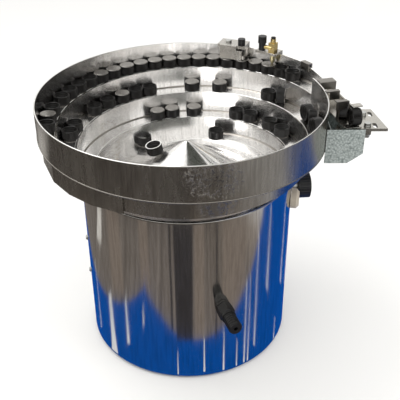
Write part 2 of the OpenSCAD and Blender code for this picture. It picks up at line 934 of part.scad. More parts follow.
// Outline of the return pan seen from the front
module pan_outline(left, top, t) {
  low = pan_top_z - pan_h;
  polygon([
    [left, low + t], [pan_x1 - pan_chamfer_x - t / 2, low + t],
    [pan_x1 - t, low + pan_chamfer_z + t / 2], [pan_x1 - t, top], [left, top]
  ]);
}

module return_pan() {
  color("darkseagreen")
  union() {
    translate([0, pan_y0 + pan_t, 0]) rotate([90, 0, 0])
      linear_extrude(pan_t) pan_outline(pan_front_x0, pan_top_z, 0);
    translate([0, pan_y0 + pan_len, 0]) rotate([90, 0, 0])
      linear_extrude(pan_len - pan_t / 2)
        difference() {
          pan_outline(pan_x0, pan_low_top_z, 0);
          translate([0, over]) pan_outline(pan_x0 + pan_t, pan_low_top_z, pan_t - over);
        }
    translate([0, pan_y0 + pan_len + pan_t, 0]) rotate([90, 0, 0])
      linear_extrude(pan_t + pan_t / 2) pan_outline(pan_x0, pan_low_top_z, 0);
  }
}

// Clip pushed over the rim's top edge
module rim_clip() {
  turn_clip = (360 - clip_az) / 360;
  r = wall_r(turn_clip);
  z = rim_z(turn_clip);
  sag = rim_sag(clip_w, turn_clip);
  color("dimgray")
  at_azimuth(clip_az)
    difference() {
      translate([r - sheet_t - sag - seat - clip_t, -clip_w / 2, z - clip_leg])
        cube([sheet_t + sag + 3 * seat + 2 * clip_t, clip_w, clip_leg + clip_t + 4 * seat]);
      translate([r - sheet_t - sag - seat, -clip_w / 2 - over, z - clip_leg - over])
        cube([sheet_t + sag + 3 * seat, clip_w + 2 * over, clip_leg + over + 4 * seat]);
    }
}

module gate_bracket() {
  plate_out = gate_outer_x0 + gate_t;
  color("silver")
  at_azimuth(gate_az)
    difference() {
      union() {
        translate([gate_in_x, -gate_w / 2, gate_top_z - gate_t])
          cube([plate_out - gate_in_x, gate_w, gate_t]);
        translate([gate_leg_x0, -gate_w / 2, gate_leg_z])
          cube([gate_leg_t, gate_w, gate_top_z - gate_leg_z]);
        translate([gate_outer_x0, -gate_w / 2, rim_top_z - gate_outer_leg_h])
          cube([gate_t, gate_w, gate_top_z - rim_top_z + gate_outer_leg_h]);
      }
      translate([spindle_x, spindle_y, gate_top_z - gate_t - over])
        cylinder(r = spindle_r + run_clear, h = gate_t + 2 * over);
      translate([gate_leg_x0 + gate_leg_t / 2, lock_y, gate_top_z - 2 * gate_t])
        cylinder(r = lock_screw_r + run_clear, h = 2 * gate_t + over);
    }
}

module gate_lock_screw() {
  color("lightgray")
  at_azimuth(gate_az) translate([gate_leg_x0 + gate_leg_t / 2, lock_y, 0]) {
    translate([0, 0, gate_top_z - 2 * gate_t + seat])
      cylinder(r = lock_screw_r, h = 2 * gate_t);
    translate([0, 0, gate_top_z + seat]) cylinder(r = lock_head_r, h = lock_head_h);
  }
}

// Blade that limits the height of what passes on the track
module gate_blade() {
  color("whitesmoke")
  at_azimuth(gate_az)
    difference() {
      union() {
        translate([blade_x1 - blade_t, -blade_w / 2, blade_z])
          cube([blade_t, blade_w, blade_h - gate_travel]);
        translate([blade_x1 - blade_t, blade_notch_y, blade_z])
          cube([blade_t, blade_w / 2 - blade_notch_y, blade_h]);
        translate([blade_x1 - over, spindle_y - nut_w / 2, blade_z])
          cube([nut_depth + seat + over, nut_w, nut_h]);
      }
      translate([spindle_x, spindle_y, blade_z - over])
        cylinder(r = spindle_r + run_clear, h = nut_h + 2 * over);
    }
}

module gate_knob() {
  color("black")
  at_azimuth(gate_az) translate([spindle_x, spindle_y, 0])
    difference() {
      union() {
        translate([0, 0, gate_top_z + seat]) cylinder(r = gate_knob_r, h = gate_knob_h);
        translate([0, 0, blade_z])
          cylinder(r = spindle_r, h = gate_top_z - blade_z + seat + over);
      }
      for (k = [0:11]) rotate(30 * k) translate([gate_knob_r + over / 2, 0, gate_top_z + 2 * over])
        cylinder(r = over, h = gate_knob_h);
    }
}

module air_bracket() {
  top = rim_top_z + seat;
  color("silver")
  at_azimuth(air_az)
    difference() {
      union() {
        translate([air_rim_r - air_plate_in, -air_plate_w / 2, top])
          cube([air_plate_in + seat + air_outer_t, air_plate_w, air_plate_t]);
        translate([air_rim_r + seat, -air_plate_w / 2, top - air_leg_h])
          cube([air_outer_t, air_plate_w, air_leg_h + air_plate_t]);
      }
      translate([jet_x, jet_y, top - over])
        cylinder(r = elbow_r + run_clear, h = air_plate_t + 2 * over);
    }
}

module air_valve() {
  color("black")
  at_azimuth(air_az) translate([valve_x, valve_y, rim_top_z + 2 * seat + air_plate_t])
    difference() {
      cylinder(r = valve_r, h = valve_h);
      translate([0, 0, valve_h / 2]) cylinder(r = flow_stem_r + run_clear, h = valve_h);
    }
}

module flow_knob() {
  z = rim_top_z + 2 * seat + air_plate_t + valve_h;
  color("black")
  at_azimuth(air_az) translate([valve_x, valve_y, z])
    difference() {
      union() {
        translate([0, 0, seat]) cylinder(r = flow_knob_r, h = flow_knob_h);
        translate([0, 0, -valve_h / 2 + seat]) cylinder(r = flow_stem_r, h = valve_h / 2 + over);
      }
      for (k = [0:11]) rotate(30 * k) translate([flow_knob_r + over / 2, 0, 2 * over])
        cylinder(r = over, h = flow_knob_h);
    }
}

// Brass fitting between the valve and the nozzle, with the tube port on top
module air_elbow() {
  top = rim_top_z + seat + air_plate_t;
  reach = valve_y - jet_y - valve_r - seat;
  color("goldenrod")
  at_azimuth(air_az) translate([jet_x, jet_y, 0])
    difference() {
      union() {
        translate([0, 0, rim_top_z + seat]) cylinder(r = elbow_r, h = air_plate_t + elbow_h);
        translate([-elbow_r, -elbow_r, top + seat]) cube([2 * elbow_r, 2 * elbow_r, elbow_h]);
        translate([valve_x - jet_x, 0, top + seat + elbow_rise]) rotate([-90, 0, 0])
          cylinder(r = elbow_tube_r, h = reach);
        translate([0, 0, top + elbow_h]) cylinder(r = collar_port_r, h = port_h);
      }
      translate([0, 0, rim_top_z]) cylinder(r = nozzle_bore_r, h = 3 * elbow_h + port_h);
      translate([0, 0, top + elbow_h + port_h - collar_tube_h - collar_gap])
        cylinder(r = port_bore_r, h = collar_tube_h + collar_gap + over);
    }
}

module air_nozzle() {
  color("khaki")
  at_azimuth(air_az) translate([jet_x, jet_y, rim_top_z - nozzle_len])
    difference() {
      union() {
        translate([0, 0, nozzle_len / 3]) cylinder(r = nozzle_r, h = nozzle_len * 2 / 3);
        cylinder(r1 = nozzle_tip_r, r2 = nozzle_r, h = nozzle_len / 3);
      }
      translate([0, 0, -over]) cylinder(r = nozzle_bore_r, h = nozzle_len + 2 * over);
    }
}

// Release ring of the push-in port
module air_collar() {
  z = rim_top_z + seat + air_plate_t + elbow_h + port_h;
  color("black")
  at_azimuth(air_az) translate([jet_x, jet_y, z])
    difference() {
      union() {
        translate([0, 0, collar_gap]) cylinder(r = collar_head_r, h = collar_head_h);
        translate([0, 0, collar_gap - collar_tube_h])
          cylinder(r = air_tube_d / 2 + collar_wall, h = collar_tube_h + collar_head_h / 2);
      }
      translate([0, 0, -collar_tube_h - over])
        cylinder(r = air_tube_d / 2, h = 3 * collar_tube_h);
    }
}

module gland_body() {
  color("black")
  out_of_housing(gland_az, gland_z, housing_r)
    difference() {
      union() {
        translate([0, 0, seat]) cylinder(r = gland_flange_r, h = gland_flange_h, $fn = 6);
        cylinder(r = gland_neck_r, h = gland_flange_h + gland_neck_h);
        translate([0, 0, -housing_wall - gland_locknut_h - seat])
          cylinder(r = gland_thread_r, h = housing_wall + gland_locknut_h + 2 * seat);
        translate([0, 0, -housing_wall - gland_locknut_h - seat])
          cylinder(r = gland_locknut_r, h = gland_locknut_h - 2 * over, $fn = 6);
      }
      translate([0, 0, -housing_wall - gland_locknut_h - over])
        cylinder(r = cable_r, h = housing_wall + gland_locknut_h + gland_flange_h + gland_neck_h + 2 * over);
    }
}

module gland_nut() {
  start = gland_flange_h + seat + seat;
  color("black")
  out_of_housing(gland_az, gland_z, housing_r)
    difference() {
      union() {
        translate([0, 0, start]) cylinder(r = gland_nut_r, h = gland_nut_h - gland_dome_h, $fn = 6);
        translate([0, 0, start + gland_nut_h - gland_dome_h])
          cylinder(r1 = gland_nut_r * cos(30), r2 = gland_sleeve_r0 + over, h = gland_dome_h);
      }
      translate([0, 0, start - over]) cylinder(r = gland_neck_r + run_clear, h = gland_neck_h + over);
      translate([0, 0, start]) cylinder(r = cable_r, h = gland_nut_h + over);
    }
}

// Ribbed sleeve that keeps the cable from kinking
module gland_sleeve() {
  start = gland_flange_h + gland_nut_h + 3 * seat;
  step = gland_sleeve_len / gland_rib_count;
  color("black")
  out_of_housing(gland_az, gland_z, housing_r)
    translate([0, 0, start])
      difference() {
        union() {
          cylinder(r1 = gland_sleeve_r0 - gland_rib, r2 = gland_sleeve_r1 - gland_rib, h = gland_sleeve_len);
          for (k = [0:gland_rib_count - 1])
            translate([0, 0, k * step])
              cylinder(r = gland_sleeve_r0 - (gland_sleeve_r0 - gland_sleeve_r1) * k / gland_rib_count,
                       h = step / 2);
        }
        translate([0, 0, -over]) cylinder(r = cable_r, h = gland_sleeve_len + 2 * over);
      }
}

module knob_collar() {
  color("dimgray")
  out_of_housing(strut_right_az, knob_z, housing_r)
    difference() {
      union() {
        translate([0, 0, seat]) cylinder(r = collar_r, h = collar_len);
        translate([0, 0, -housing_wall]) cylinder(r = collar_spigot_r, h = housing_wall + collar_len);
      }
      translate([0, 0, -housing_wall - over])
        cylinder(r = knob_shaft_r + run_clear, h = housing_wall + collar_len + 2 * over);
    }
}

module housing_knob() {
  z = seat + collar_len + seat;
  color("black")
  out_of_housing(strut_right_az, knob_z, housing_r)
    difference() {
      union() {
        translate([0, 0, z]) cylinder(r = knob_r, h = knob_len);
        translate([0, 0, -housing_wall - seat - shaft_depth + seat])
          cylinder(r = knob_shaft_r, h = z + housing_wall + shaft_depth + over);
      }
      translate([0, 0, z + knob_len - knob_cap_sink])
        cylinder(r = knob_cap_r + seat, h = knob_cap_sink + over);
      for (k = [0:knob_groove_count - 1]) rotate(360 / knob_groove_count * k)
        translate([knob_r + knob_groove_r * 0.7, 0, z + knob_groove_r])
          cylinder(r = knob_groove_r, h = knob_len);
    }
}

module knob_cap() {
  z = 2 * seat + collar_len + knob_len - knob_cap_sink;
  color("lightgray")
  out_of_housing(strut_right_az, knob_z, housing_r)
    translate([0, 0, z + seat]) cylinder(r = knob_cap_r, h = knob_cap_t);
}

// Oval boss beside the knob
module side_boss() {
  color("tan")
  out_of_housing(boss_az, knob_z, housing_r)
    translate([0, 0, seat]) scale([boss_h / boss_w, 1, 1]) {
      cylinder(d = boss_w, h = boss_len - boss_crown);
      translate([0, 0, boss_len - boss_crown])
        cylinder(d1 = boss_w, d2 = boss_w - 2 * boss_crown, h = boss_crown);
    }
}

base_plate();
rubber_feet();
foot_screws();
housing_shell();
housing_struts();
housing_screws();
lower_spring_clamps();
lower_clamp_screws();
magnet_pedestal();
magnet_core();
magnet_coil();
gland_body();
gland_nut();
gland_sleeve();
knob_collar();
housing_knob();
knob_cap();
side_boss();
leaf_springs();
lower_spacers();
upper_spacers();
top_frame();
upper_spring_clamps();
upper_clamp_screws();
armature();
bowl_base();
bowl_bolts();
bowl_floor();
floor_cone();
pot_wall();
track_lower();
wall_lower();
track_middle();
wall_middle();
track_upper();
rim_wall();
left_skirt();
outlet_track();
outlet_guard();
tooling_block();
hold_down_rear();
hold_down_front();
chute_sheet();
guard_tab();
outlet_plate();
clamp_bar();
plate_screws();
return_pan();
rim_clip();
gate_bracket();
gate_lock_screw();
gate_blade();
gate_knob();
air_bracket();
air_valve();
flow_knob();
air_elbow();
air_nozzle();
air_collar();
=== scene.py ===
# %% [markdown]
# # A vibratory bowl feeder, dressed over its solid model
# A bowl feeder shakes loose caps up a spiral track until they leave the bowl in single file.
# The solids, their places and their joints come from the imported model. This script only adds
# what the eye sees: bent and welded sheet, ground edges, polished steel and the caps in the bowl.
# The few sizes that it repeats are those that the solid model was drawn with.

# %% Load the frame
import math

import bmesh
import bpy
from mathutils import Matrix, Vector


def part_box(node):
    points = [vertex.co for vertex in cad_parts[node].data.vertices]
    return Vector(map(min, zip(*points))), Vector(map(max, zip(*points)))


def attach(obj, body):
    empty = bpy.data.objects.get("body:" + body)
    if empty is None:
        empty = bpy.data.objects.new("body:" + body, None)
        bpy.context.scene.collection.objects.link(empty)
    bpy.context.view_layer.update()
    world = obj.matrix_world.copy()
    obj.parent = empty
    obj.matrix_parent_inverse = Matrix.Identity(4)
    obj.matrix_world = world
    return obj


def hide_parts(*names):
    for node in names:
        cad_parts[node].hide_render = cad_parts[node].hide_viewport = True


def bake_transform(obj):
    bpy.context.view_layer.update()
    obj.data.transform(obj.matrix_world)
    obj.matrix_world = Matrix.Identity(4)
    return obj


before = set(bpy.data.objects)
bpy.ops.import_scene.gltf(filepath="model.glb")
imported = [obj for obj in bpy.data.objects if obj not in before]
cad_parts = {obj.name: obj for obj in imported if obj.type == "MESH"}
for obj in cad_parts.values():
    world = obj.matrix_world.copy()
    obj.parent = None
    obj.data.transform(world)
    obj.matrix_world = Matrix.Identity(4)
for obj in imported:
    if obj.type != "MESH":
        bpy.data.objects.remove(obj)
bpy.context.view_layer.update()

# %% [markdown]
# ## The camera
# The feeder is seen from above its front, so that the eye falls into the bowl. The place, the
# height angle and the lens were worked out from the outlines of the rim and the housing. The
# lens is fairly long, which keeps the near and the far side of the rim in a natural proportion.
# The place is in metres, the lens and its sensor are in millimetres, and the angles in degrees.

# %% Place the camera
CAMERA_PLACE = (0.02294, -1.12274, 0.95960)
LENS, SENSOR = 64.8, 36.0
LOOK_DOWN, ROLL = 31.85, -0.30
camera_data = bpy.data.cameras.new("front_camera")
camera_data.sensor_width = SENSOR
camera_data.lens = LENS
camera = bpy.data.objects.new("front_camera", camera_data)
bpy.context.collection.objects.link(camera)
camera.location = CAMERA_PLACE
camera.rotation_euler = (math.radians(90.0 - LOOK_DOWN), 0.0, 0.0)
camera.rotation_euler.rotate_axis("Z", math.radians(ROLL))
bpy.context.scene.camera = camera
print("camera at", tuple(camera.location))

# %% [markdown]
# ## Sizes of the spiral
# The track is one long spiral that grows 30 mm and climbs 40 mm a turn. Turns are counted
# clockwise from the right-hand side, so turn 0.25 is at the front and 0.95 is the outlet.
# The same few formulas give every sheet of the bowl, so that all the sheets meet.

# %% Spiral formulas, in metres
MM = 0.001
SHEET = 2.5 * MM
FLOOR_Z = 308 * MM
RIM_Z = 470 * MM
GUARD_Z = 456 * MM
SEAT = 0.3 * MM
LIP_START, GROWTH = 209 * MM, 30 * MM
TRACK_START, CLIMB = 400 * MM, 40 * MM
START_TURN, RAMP_TURN, SHELF_TURN = -2.3, -1.95, -1.475
START_Z, SHELF_Z = 310.8 * MM, 341 * MM
LOWER_END, MIDDLE_END, OUTLET_TURN = -1.05, -0.05, 0.95
RIM_FALL_TURN, RIM_FALL_LENGTH = 0.9, 0.05


def lip_radius(turn):
    return LIP_START + GROWTH * turn


def wall_radius(turn):
    return lip_radius(turn + 1) - SEAT


def track_height(turn):
    if turn > SHELF_TURN:
        return TRACK_START + CLIMB * turn
    if turn > RAMP_TURN:
        return SHELF_Z
    return START_Z + (SHELF_Z - START_Z) * (turn - START_TURN) / (RAMP_TURN - START_TURN)


def rim_height(turn):
    """The rim is level, and falls to the guard's height just before the outlet."""
    fall = min(1.0, max(0.0, (turn - RIM_FALL_TURN) / RIM_FALL_LENGTH))
    return RIM_Z - (RIM_Z - GUARD_Z) * fall


def spiral_point(turn, radius, height):
    angle = -2 * math.pi * turn
    return Vector((radius * math.cos(angle), radius * math.sin(angle), height))


print("rim radius at the front:", round(wall_radius(0.25), 4))

# %% [markdown]
# ## Helpers for pieces
# Each piece is made in a bmesh, gets smooth shading with its real corners kept sharp, and then
# rides on the body that carries it. A piece that is to bend rides on no body and gets no weighted
# normals. One helper does all this, so no piece forgets a step.
# Smooth shading would also bend the light on a large flat face next to a small bevel. Weighted
# normals stop that: where two faces meet smoothly, the larger one keeps its direction.

# %% Turn a bmesh into a piece
def make_piece(name, bm, material, body, replaces=(), sharp=35,
               inside=None, top=None, more=(), bend=None):
    """Finish a bmesh as an object. Faces that look inwards or upwards can have their own finish."""
    bmesh.ops.remove_doubles(bm, verts=bm.verts, dist=1e-6)
    bmesh.ops.recalc_face_normals(bm, faces=bm.faces)
    for face in bm.faces if inside else ():
        middle = face.calc_center_median()
        outward = Vector((middle.x, middle.y, 0.0)).normalized()
        if face.normal.dot(outward) < -0.3:
            face.material_index = 1
        if top and face.normal.z > 0.3:
            face.material_index = 2
    mesh = bpy.data.meshes.new(name)
    bm.to_mesh(mesh)
    bm.free()
    mesh.shade_smooth()
    mesh.set_sharp_from_angle(angle=math.radians(sharp))
    for finish in (material, *(f for f in (inside, top) if f), *more):
        mesh.materials.append(finish)
    piece = bpy.data.objects.new(name, mesh)
    bpy.context.collection.objects.link(piece)
    if bend:
        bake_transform(piece)
    else:
        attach(piece, body)
        flat = piece.modifiers.new("flat_faces_stay_flat", "WEIGHTED_NORMAL")
        flat.weight, flat.keep_sharp = 100, True
    if replaces:
        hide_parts(*replaces)
    print(name, len(mesh.polygons), "faces on", body)
    return piece


# %% [markdown]
# A machined part has no knife edges: its corners are broken by a small bevel that catches the
# light. A copy of the solid's mesh is merged and cleaned of its flat triangles, and then only
# the edges that turn by more than 30 degrees are bevelled.

# %% Copy a solid with broken edges
def node_bmesh(node):
    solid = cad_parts[node]
    bm = bmesh.new()
    bm.from_mesh(solid.data)
    bmesh.ops.transform(bm, matrix=solid.matrix_world, verts=bm.verts)
    bmesh.ops.remove_doubles(bm, verts=bm.verts, dist=1e-5)
    bmesh.ops.dissolve_limit(bm, angle_limit=math.radians(1), verts=bm.verts, edges=bm.edges)
    return bm


def break_edges(bm, width, segments=2, angle=30):
    sharp = [e for e in bm.edges
             if len(e.link_faces) == 2 and e.calc_face_angle(0.0) > math.radians(angle)]
    bmesh.ops.bevel(bm, geom=sharp, offset=width, offset_type="OFFSET", segments=segments,
                    profile=0.5, affect="EDGES", clamp_overlap=True, material=-1)


def refine(node, material, body, width, segments=2):
    """Stand a finished copy in for a solid."""
    bm = node_bmesh(node)
    break_edges(bm, width, segments)
    return make_piece(node + "_finished", bm, material, body, [node])


# %% [markdown]
# The sheets of the bowl follow the spiral. A closed section is drawn at the first turn, its
# edges are extruded step by step, and each new ring is moved to its own place on the spiral.
# Unlike a plain spin, this lets the radius and the height change from step to step.

# %% Sweep a section along the spiral
def next_ring(bm, edges, index):
    """Extrude a loop of edges in place, and say which point of the section each new corner is."""
    made = bmesh.ops.extrude_edge_only(bm, edges=edges)["geom"]
    fresh = {}
    for vert in (g for g in made if isinstance(g, bmesh.types.BMVert)):
        for edge in vert.link_edges:
            if edge.other_vert(vert) in index:
                fresh[vert] = index[edge.other_vert(vert)]
    return [g for g in made if isinstance(g, bmesh.types.BMEdge)], fresh


def sweep(bm, section, start, end, steps_per_turn=180):
    """Draw a closed section at one turn, and carry it along the spiral to another."""
    steps = max(2, math.ceil((end - start) * steps_per_turn))
    outline = [bm.verts.new(spiral_point(start, *point)) for point in section(start)]
    edges = [bm.edges.new((outline[i - 1], outline[i])) for i in range(len(outline))]
    first = list(edges)
    index = {vert: i for i, vert in enumerate(outline)}
    for step in range(1, steps + 1):
        turn = start + (end - start) * step / steps
        points = section(turn)
        edges, index = next_ring(bm, edges, index)
        for vert, i in index.items():
            vert.co = spiral_point(turn, *points[i])
    bmesh.ops.edgeloop_fill(bm, edges=first)
    bmesh.ops.edgeloop_fill(bm, edges=edges)


def rounded_bar(r_in, r_out, low, high):
    """Section of an upright sheet whose top edge is ground round."""
    middle, half = (r_in + r_out) / 2, (r_out - r_in) / 2
    top = [(middle + half * math.cos(math.radians(a)), high - half + half * math.sin(math.radians(a)))
           for a in range(0, 181, 30)]
    return [(r_in, low), (r_out, low)] + top


# %% [markdown]
# ## Helpers for materials
# Colours are written as sRGB hex values, as a designer picks them, and turned to linear light
# once. A second small function adds any kind of node with its settings and links.

# %% Colour and node helpers
def linear(hex_colour):
    values = [int(hex_colour[i:i + 2], 16) / 255 for i in (1, 3, 5)]
    return tuple(v / 12.92 if v <= 0.04045 else ((v + 0.055) / 1.055) ** 2.4 for v in values) + (1.0,)


def add_node(tree, kind, inputs=None, **settings):
    node = tree.nodes.new("ShaderNode" + kind)
    for name, value in settings.items():
        setattr(node, name, value)
    for name, value in (inputs or {}).items():
        if isinstance(value, bpy.types.NodeSocket):
            tree.links.new(value, node.inputs[name])
        else:
            node.inputs[name].default_value = value
    return node


def new_finish(name, colour, metallic, roughness, **sockets):
    material = bpy.data.materials.new(name)
    material.use_nodes = True
    shader = material.node_tree.nodes["Principled BSDF"]
    shader.inputs["Base Color"].default_value = linear(colour)
    shader.inputs["Metallic"].default_value = metallic
    shader.inputs["Roughness"].default_value = roughness
    for socket, value in sockets.items():
        shader.inputs[socket.replace("_", " ")].default_value = value
    return material, material.node_tree, shader


# %% [markdown]
# ## Polished sheet of the bowl
# The inside of the bowl is stainless sheet, polished after welding. It mirrors the light, but
# hand polishing leaves it slightly wavy, so reflections stretch and melt into each other.
# A metal's colour is its reflection colour, so the base colour is nearly white.
# Waves of about 70 mm come from rolling the sheet, and 7 mm ones from the polishing wheel.
# The wheel runs round the bowl, and the anisotropic shader draws its fine grain: it stretches
# each reflection upright. The tone varies a little in upright streaks about 4 mm wide. Real
# ones are finer than that, and would not show at this distance.

# %% Polished stainless
STREAK_WIDTH, UPRIGHT_STRETCH = 4 * MM, 0.07
HAZE_SIZE = 30 * MM


def wavy_steel(name, colour, roughness, spread, waves, stretch=(1, 1, 1), brushed=0.0, shadow=None):
    """Steel with a hazy gloss. Each wave is its size and its height, and shadow is the darker tone."""
    material, tree, shader = new_finish(name, colour, 1.0, roughness, Anisotropic=brushed,
                                        Anisotropic_Rotation=0.25)
    if brushed:
        grain = add_node(tree, "Tangent", direction_type="RADIAL", axis="Z")
        tree.links.new(grain.outputs["Tangent"], shader.inputs["Tangent"])
    place = add_node(tree, "TexCoord").outputs["Object"]
    place = add_node(tree, "Mapping", {"Vector": place, "Scale": stretch}).outputs["Vector"]
    cloud = add_node(tree, "TexNoise", {"Vector": place, "Scale": 1 / HAZE_SIZE, "Detail": 6.0,
                                        "Roughness": 0.7})
    haze = add_node(tree, "MapRange", {"Value": cloud.outputs["Fac"], "From Min": 0.3, "From Max": 0.7,
                                       "To Min": roughness - spread, "To Max": roughness + spread})
    tree.links.new(haze.outputs["Result"], shader.inputs["Roughness"])
    if shadow:
        upright = add_node(tree, "Mapping", {"Vector": add_node(tree, "TexCoord").outputs["Object"],
                                             "Scale": (1, 1, UPRIGHT_STRETCH)}).outputs["Vector"]
        streaks = add_node(tree, "TexNoise", {"Vector": upright, "Scale": 1 / STREAK_WIDTH, "Detail": 5.0,
                                              "Roughness": 0.65})
        tone = add_node(tree, "ValToRGB", {"Fac": streaks.outputs["Fac"]})
        tone.color_ramp.elements[0].position, tone.color_ramp.elements[0].color = 0.36, linear(shadow)
        tone.color_ramp.elements[1].position, tone.color_ramp.elements[1].color = 0.58, linear(colour)
        tree.links.new(tone.outputs["Color"], shader.inputs["Base Color"])
    normal = None
    for size, height in waves:
        wave = add_node(tree, "TexNoise", {"Vector": place, "Scale": 1 / size, "Detail": 1.0})
        links = {"Height": wave.outputs["Fac"], "Strength": 1.0, "Distance": height}
        if normal:
            links["Normal"] = normal
        normal = add_node(tree, "Bump", links).outputs["Normal"]
    tree.links.new(normal, shader.inputs["Normal"])
    return material


# Polished after welding, so it mirrors brightly, and the reflections melt into each other.
bowl_steel = wavy_steel("stainless_polished_sheet", "#fefdfc", 0.20, 0.045,
                        [(70 * MM, 1.2 * MM), (7 * MM, 0.06 * MM)], (1, 1, 0.3),
                        brushed=0.85, shadow="#efedeb")
# Cold-rolled, with the mill's own gloss, so it gives the clearest mirror of all.
housing_steel = wavy_steel("stainless_rolled_housing", "#dcd9d4", 0.12, 0.025,
                           [(120 * MM, 0.4 * MM), (14 * MM, 0.015 * MM)], (1, 1, 0.2),
                           brushed=0.75, shadow="#cbc7c1")
# Brushed by hand with a coarse belt, so it is greyer and only glows where the room is bright.
rim_steel = wavy_steel("stainless_brushed_rim", "#b9b4ac", 0.26, 0.06,
                       [(80 * MM, 1.0 * MM), (5 * MM, 0.05 * MM)], (1, 1, 0.3),
                       brushed=0.7, shadow="#a49f97")
# Milled, ground, hardened and welded steel: short cloudy patches instead of long streaks.
machined_steel = wavy_steel("stainless_machined", "#c2bfb9", 0.26, 0.07, [(6 * MM, 0.06 * MM)])
edge_steel = wavy_steel("stainless_ground_edge", "#f4f3f0", 0.32, 0.05, [(4 * MM, 0.05 * MM)])
tool_steel = wavy_steel("tool_steel_dark", "#908c87", 0.3, 0.06, [(6 * MM, 0.06 * MM)])
weld_steel = wavy_steel("weld_bead", "#a9a49d", 0.3, 0.08, [(2.5 * MM, 0.25 * MM)])
print("steel finishes:", [m.name for m in bpy.data.materials if "steel" in m.name or "stainless" in m.name])

# %% [markdown]
# Where the rim was welded at the front, spatter was ground off and left a rough patch. Bump
# specks of about 5 mm, mixed in within 34 mm of a few places, catch the light like it.

# %% Leave weld marks on the rim
SPATTER, SPATTER_HEIGHT = 5 * MM, 1.6 * MM
MARK_PLACES = [(0.058, -0.240, 0.442), (0.050, -0.211, 0.385), (0.030, -0.242, 0.448)]
MARK_REACH = 34 * MM


def weld_marks(material, places, reach):
    """Rough specks of spatter round a few places. Their tiny slopes glint, whatever lies beyond."""
    tree = material.node_tree
    shader = tree.nodes["Principled BSDF"]
    spot = add_node(tree, "TexCoord").outputs["Object"]
    grit = add_node(tree, "TexNoise", {"Vector": spot, "Scale": 1 / SPATTER, "Detail": 4.0,
                                       "Roughness": 0.7})
    specks = add_node(tree, "MapRange", {"Value": grit.outputs["Fac"], "From Min": 0.54, "From Max": 0.62})
    for middle in places:
        away = add_node(tree, "VectorMath", {0: spot, 1: middle}, operation="DISTANCE")
        patch = add_node(tree, "MapRange", {"Value": away.outputs["Value"], "From Min": 0.4 * reach,
                                            "From Max": reach, "To Min": 1.0, "To Max": 0.0})
        amount = add_node(tree, "Math", {0: patch.outputs["Result"], 1: specks.outputs["Result"]},
                          operation="MULTIPLY")
        before = shader.inputs["Normal"].links[0].from_socket
        rough = add_node(tree, "Bump", {"Height": amount.outputs["Value"], "Strength": 1.0,
                                        "Distance": SPATTER_HEIGHT, "Normal": before})
        tree.links.new(rough.outputs["Normal"], shader.inputs["Normal"])


weld_marks(rim_steel, MARK_PLACES, MARK_REACH)
print("weld marks:", len(MARK_PLACES))

# %% [markdown]
# ## Other finishes
# Injection-moulded black plastic, rubber, brass turned on a lathe, grey casting paint and the
# pebbled lining of the return pan. Each one has the slight unevenness that its making leaves.

# %% Plastics, rubber, brass and paint
def moulded(name, colour, roughness, grain, depth, metallic=0.0):
    """A smooth finish with a grain of the given size and depth in its gloss and its surface."""
    material, tree, shader = new_finish(name, colour, metallic, roughness)
    place = add_node(tree, "TexCoord").outputs["Object"]
    grit = add_node(tree, "TexNoise", {"Vector": place, "Scale": 1 / grain, "Detail": 3.0})
    shade = add_node(tree, "MapRange", {"Value": grit.outputs["Fac"], "To Min": roughness * 0.8,
                                        "To Max": roughness * 1.25})
    bump = add_node(tree, "Bump", {"Height": grit.outputs["Fac"], "Strength": 0.6, "Distance": depth})
    tree.links.new(shade.outputs["Result"], shader.inputs["Roughness"])
    tree.links.new(bump.outputs["Normal"], shader.inputs["Normal"])
    return material


# Nylon and polypropylene are satin blacks, and a lamp draws a soft grey sheen on them.
black_nylon = moulded("nylon_black", "#141416", 0.38, 3 * MM, 0.05 * MM)
cap_plastic = moulded("polypropylene_black", "#0f0d0c", 0.30, 4 * MM, 0.04 * MM)
# A cap's flat top is given a grey, nearly metal finish: a painted reflection of the bright ceiling, which
# the top mirrors at a low angle.
cap_top_painted_reflection = moulded("cap_top_painted_reflection_grey", "#8f8c88", 0.2, 9 * MM, 0.05 * MM, metallic=0.85)
# The foam liner inside a cap is matt and nearly white, and its finish also paints a highlight on one cap's
# foot ring. Rubber is a matt black.
liner_and_painted_highlight = moulded("foam_liner_and_painted_highlight", "#f2f2ee", 0.5, 3 * MM, 0.05 * MM)
rubber = moulded("rubber_black", "#1a1a1a", 0.7, 2 * MM, 0.1 * MM)
# Turned brass keeps a golden shine. The nozzle's thin nickel wash makes it paler.
brass = moulded("brass_turned", "#dcc58a", 0.22, 2 * MM, 0.02 * MM, metallic=1.0)
pale_brass = moulded("brass_nickel_washed", "#efe3b8", 0.3, 2 * MM, 0.02 * MM, metallic=1.0)
# The boss is moulded ABS with a fine satin grain, and the knob's end cap is turned aluminium.
beige_plastic = moulded("abs_beige", "#b3a99a", 0.45, 2.5 * MM, 0.15 * MM)
pale_plastic = moulded("aluminium_end_cap", "#b8b6b2", 0.35, 3 * MM, 0.03 * MM, metallic=0.8)
# The drive: painted castings, stacked iron sheets, varnished wire, laminate springs and plated screws.
grey_paint = moulded("casting_paint_grey", "#54575b", 0.45, 2 * MM, 0.15 * MM)
magnet_steel = moulded("laminated_iron", "#3a3d42", 0.4, 1 * MM, 0.05 * MM, metallic=0.8)
copper = moulded("varnished_copper", "#8a4524", 0.3, 1.5 * MM, 0.1 * MM, metallic=0.6)
laminate = moulded("glass_fibre_laminate", "#b99a4a", 0.4, 2 * MM, 0.1 * MM)
zinc = moulded("zinc_plated_steel", "#c9cac8", 0.28, 2 * MM, 0.03 * MM, metallic=1.0)
print("materials:", len(bpy.data.materials))
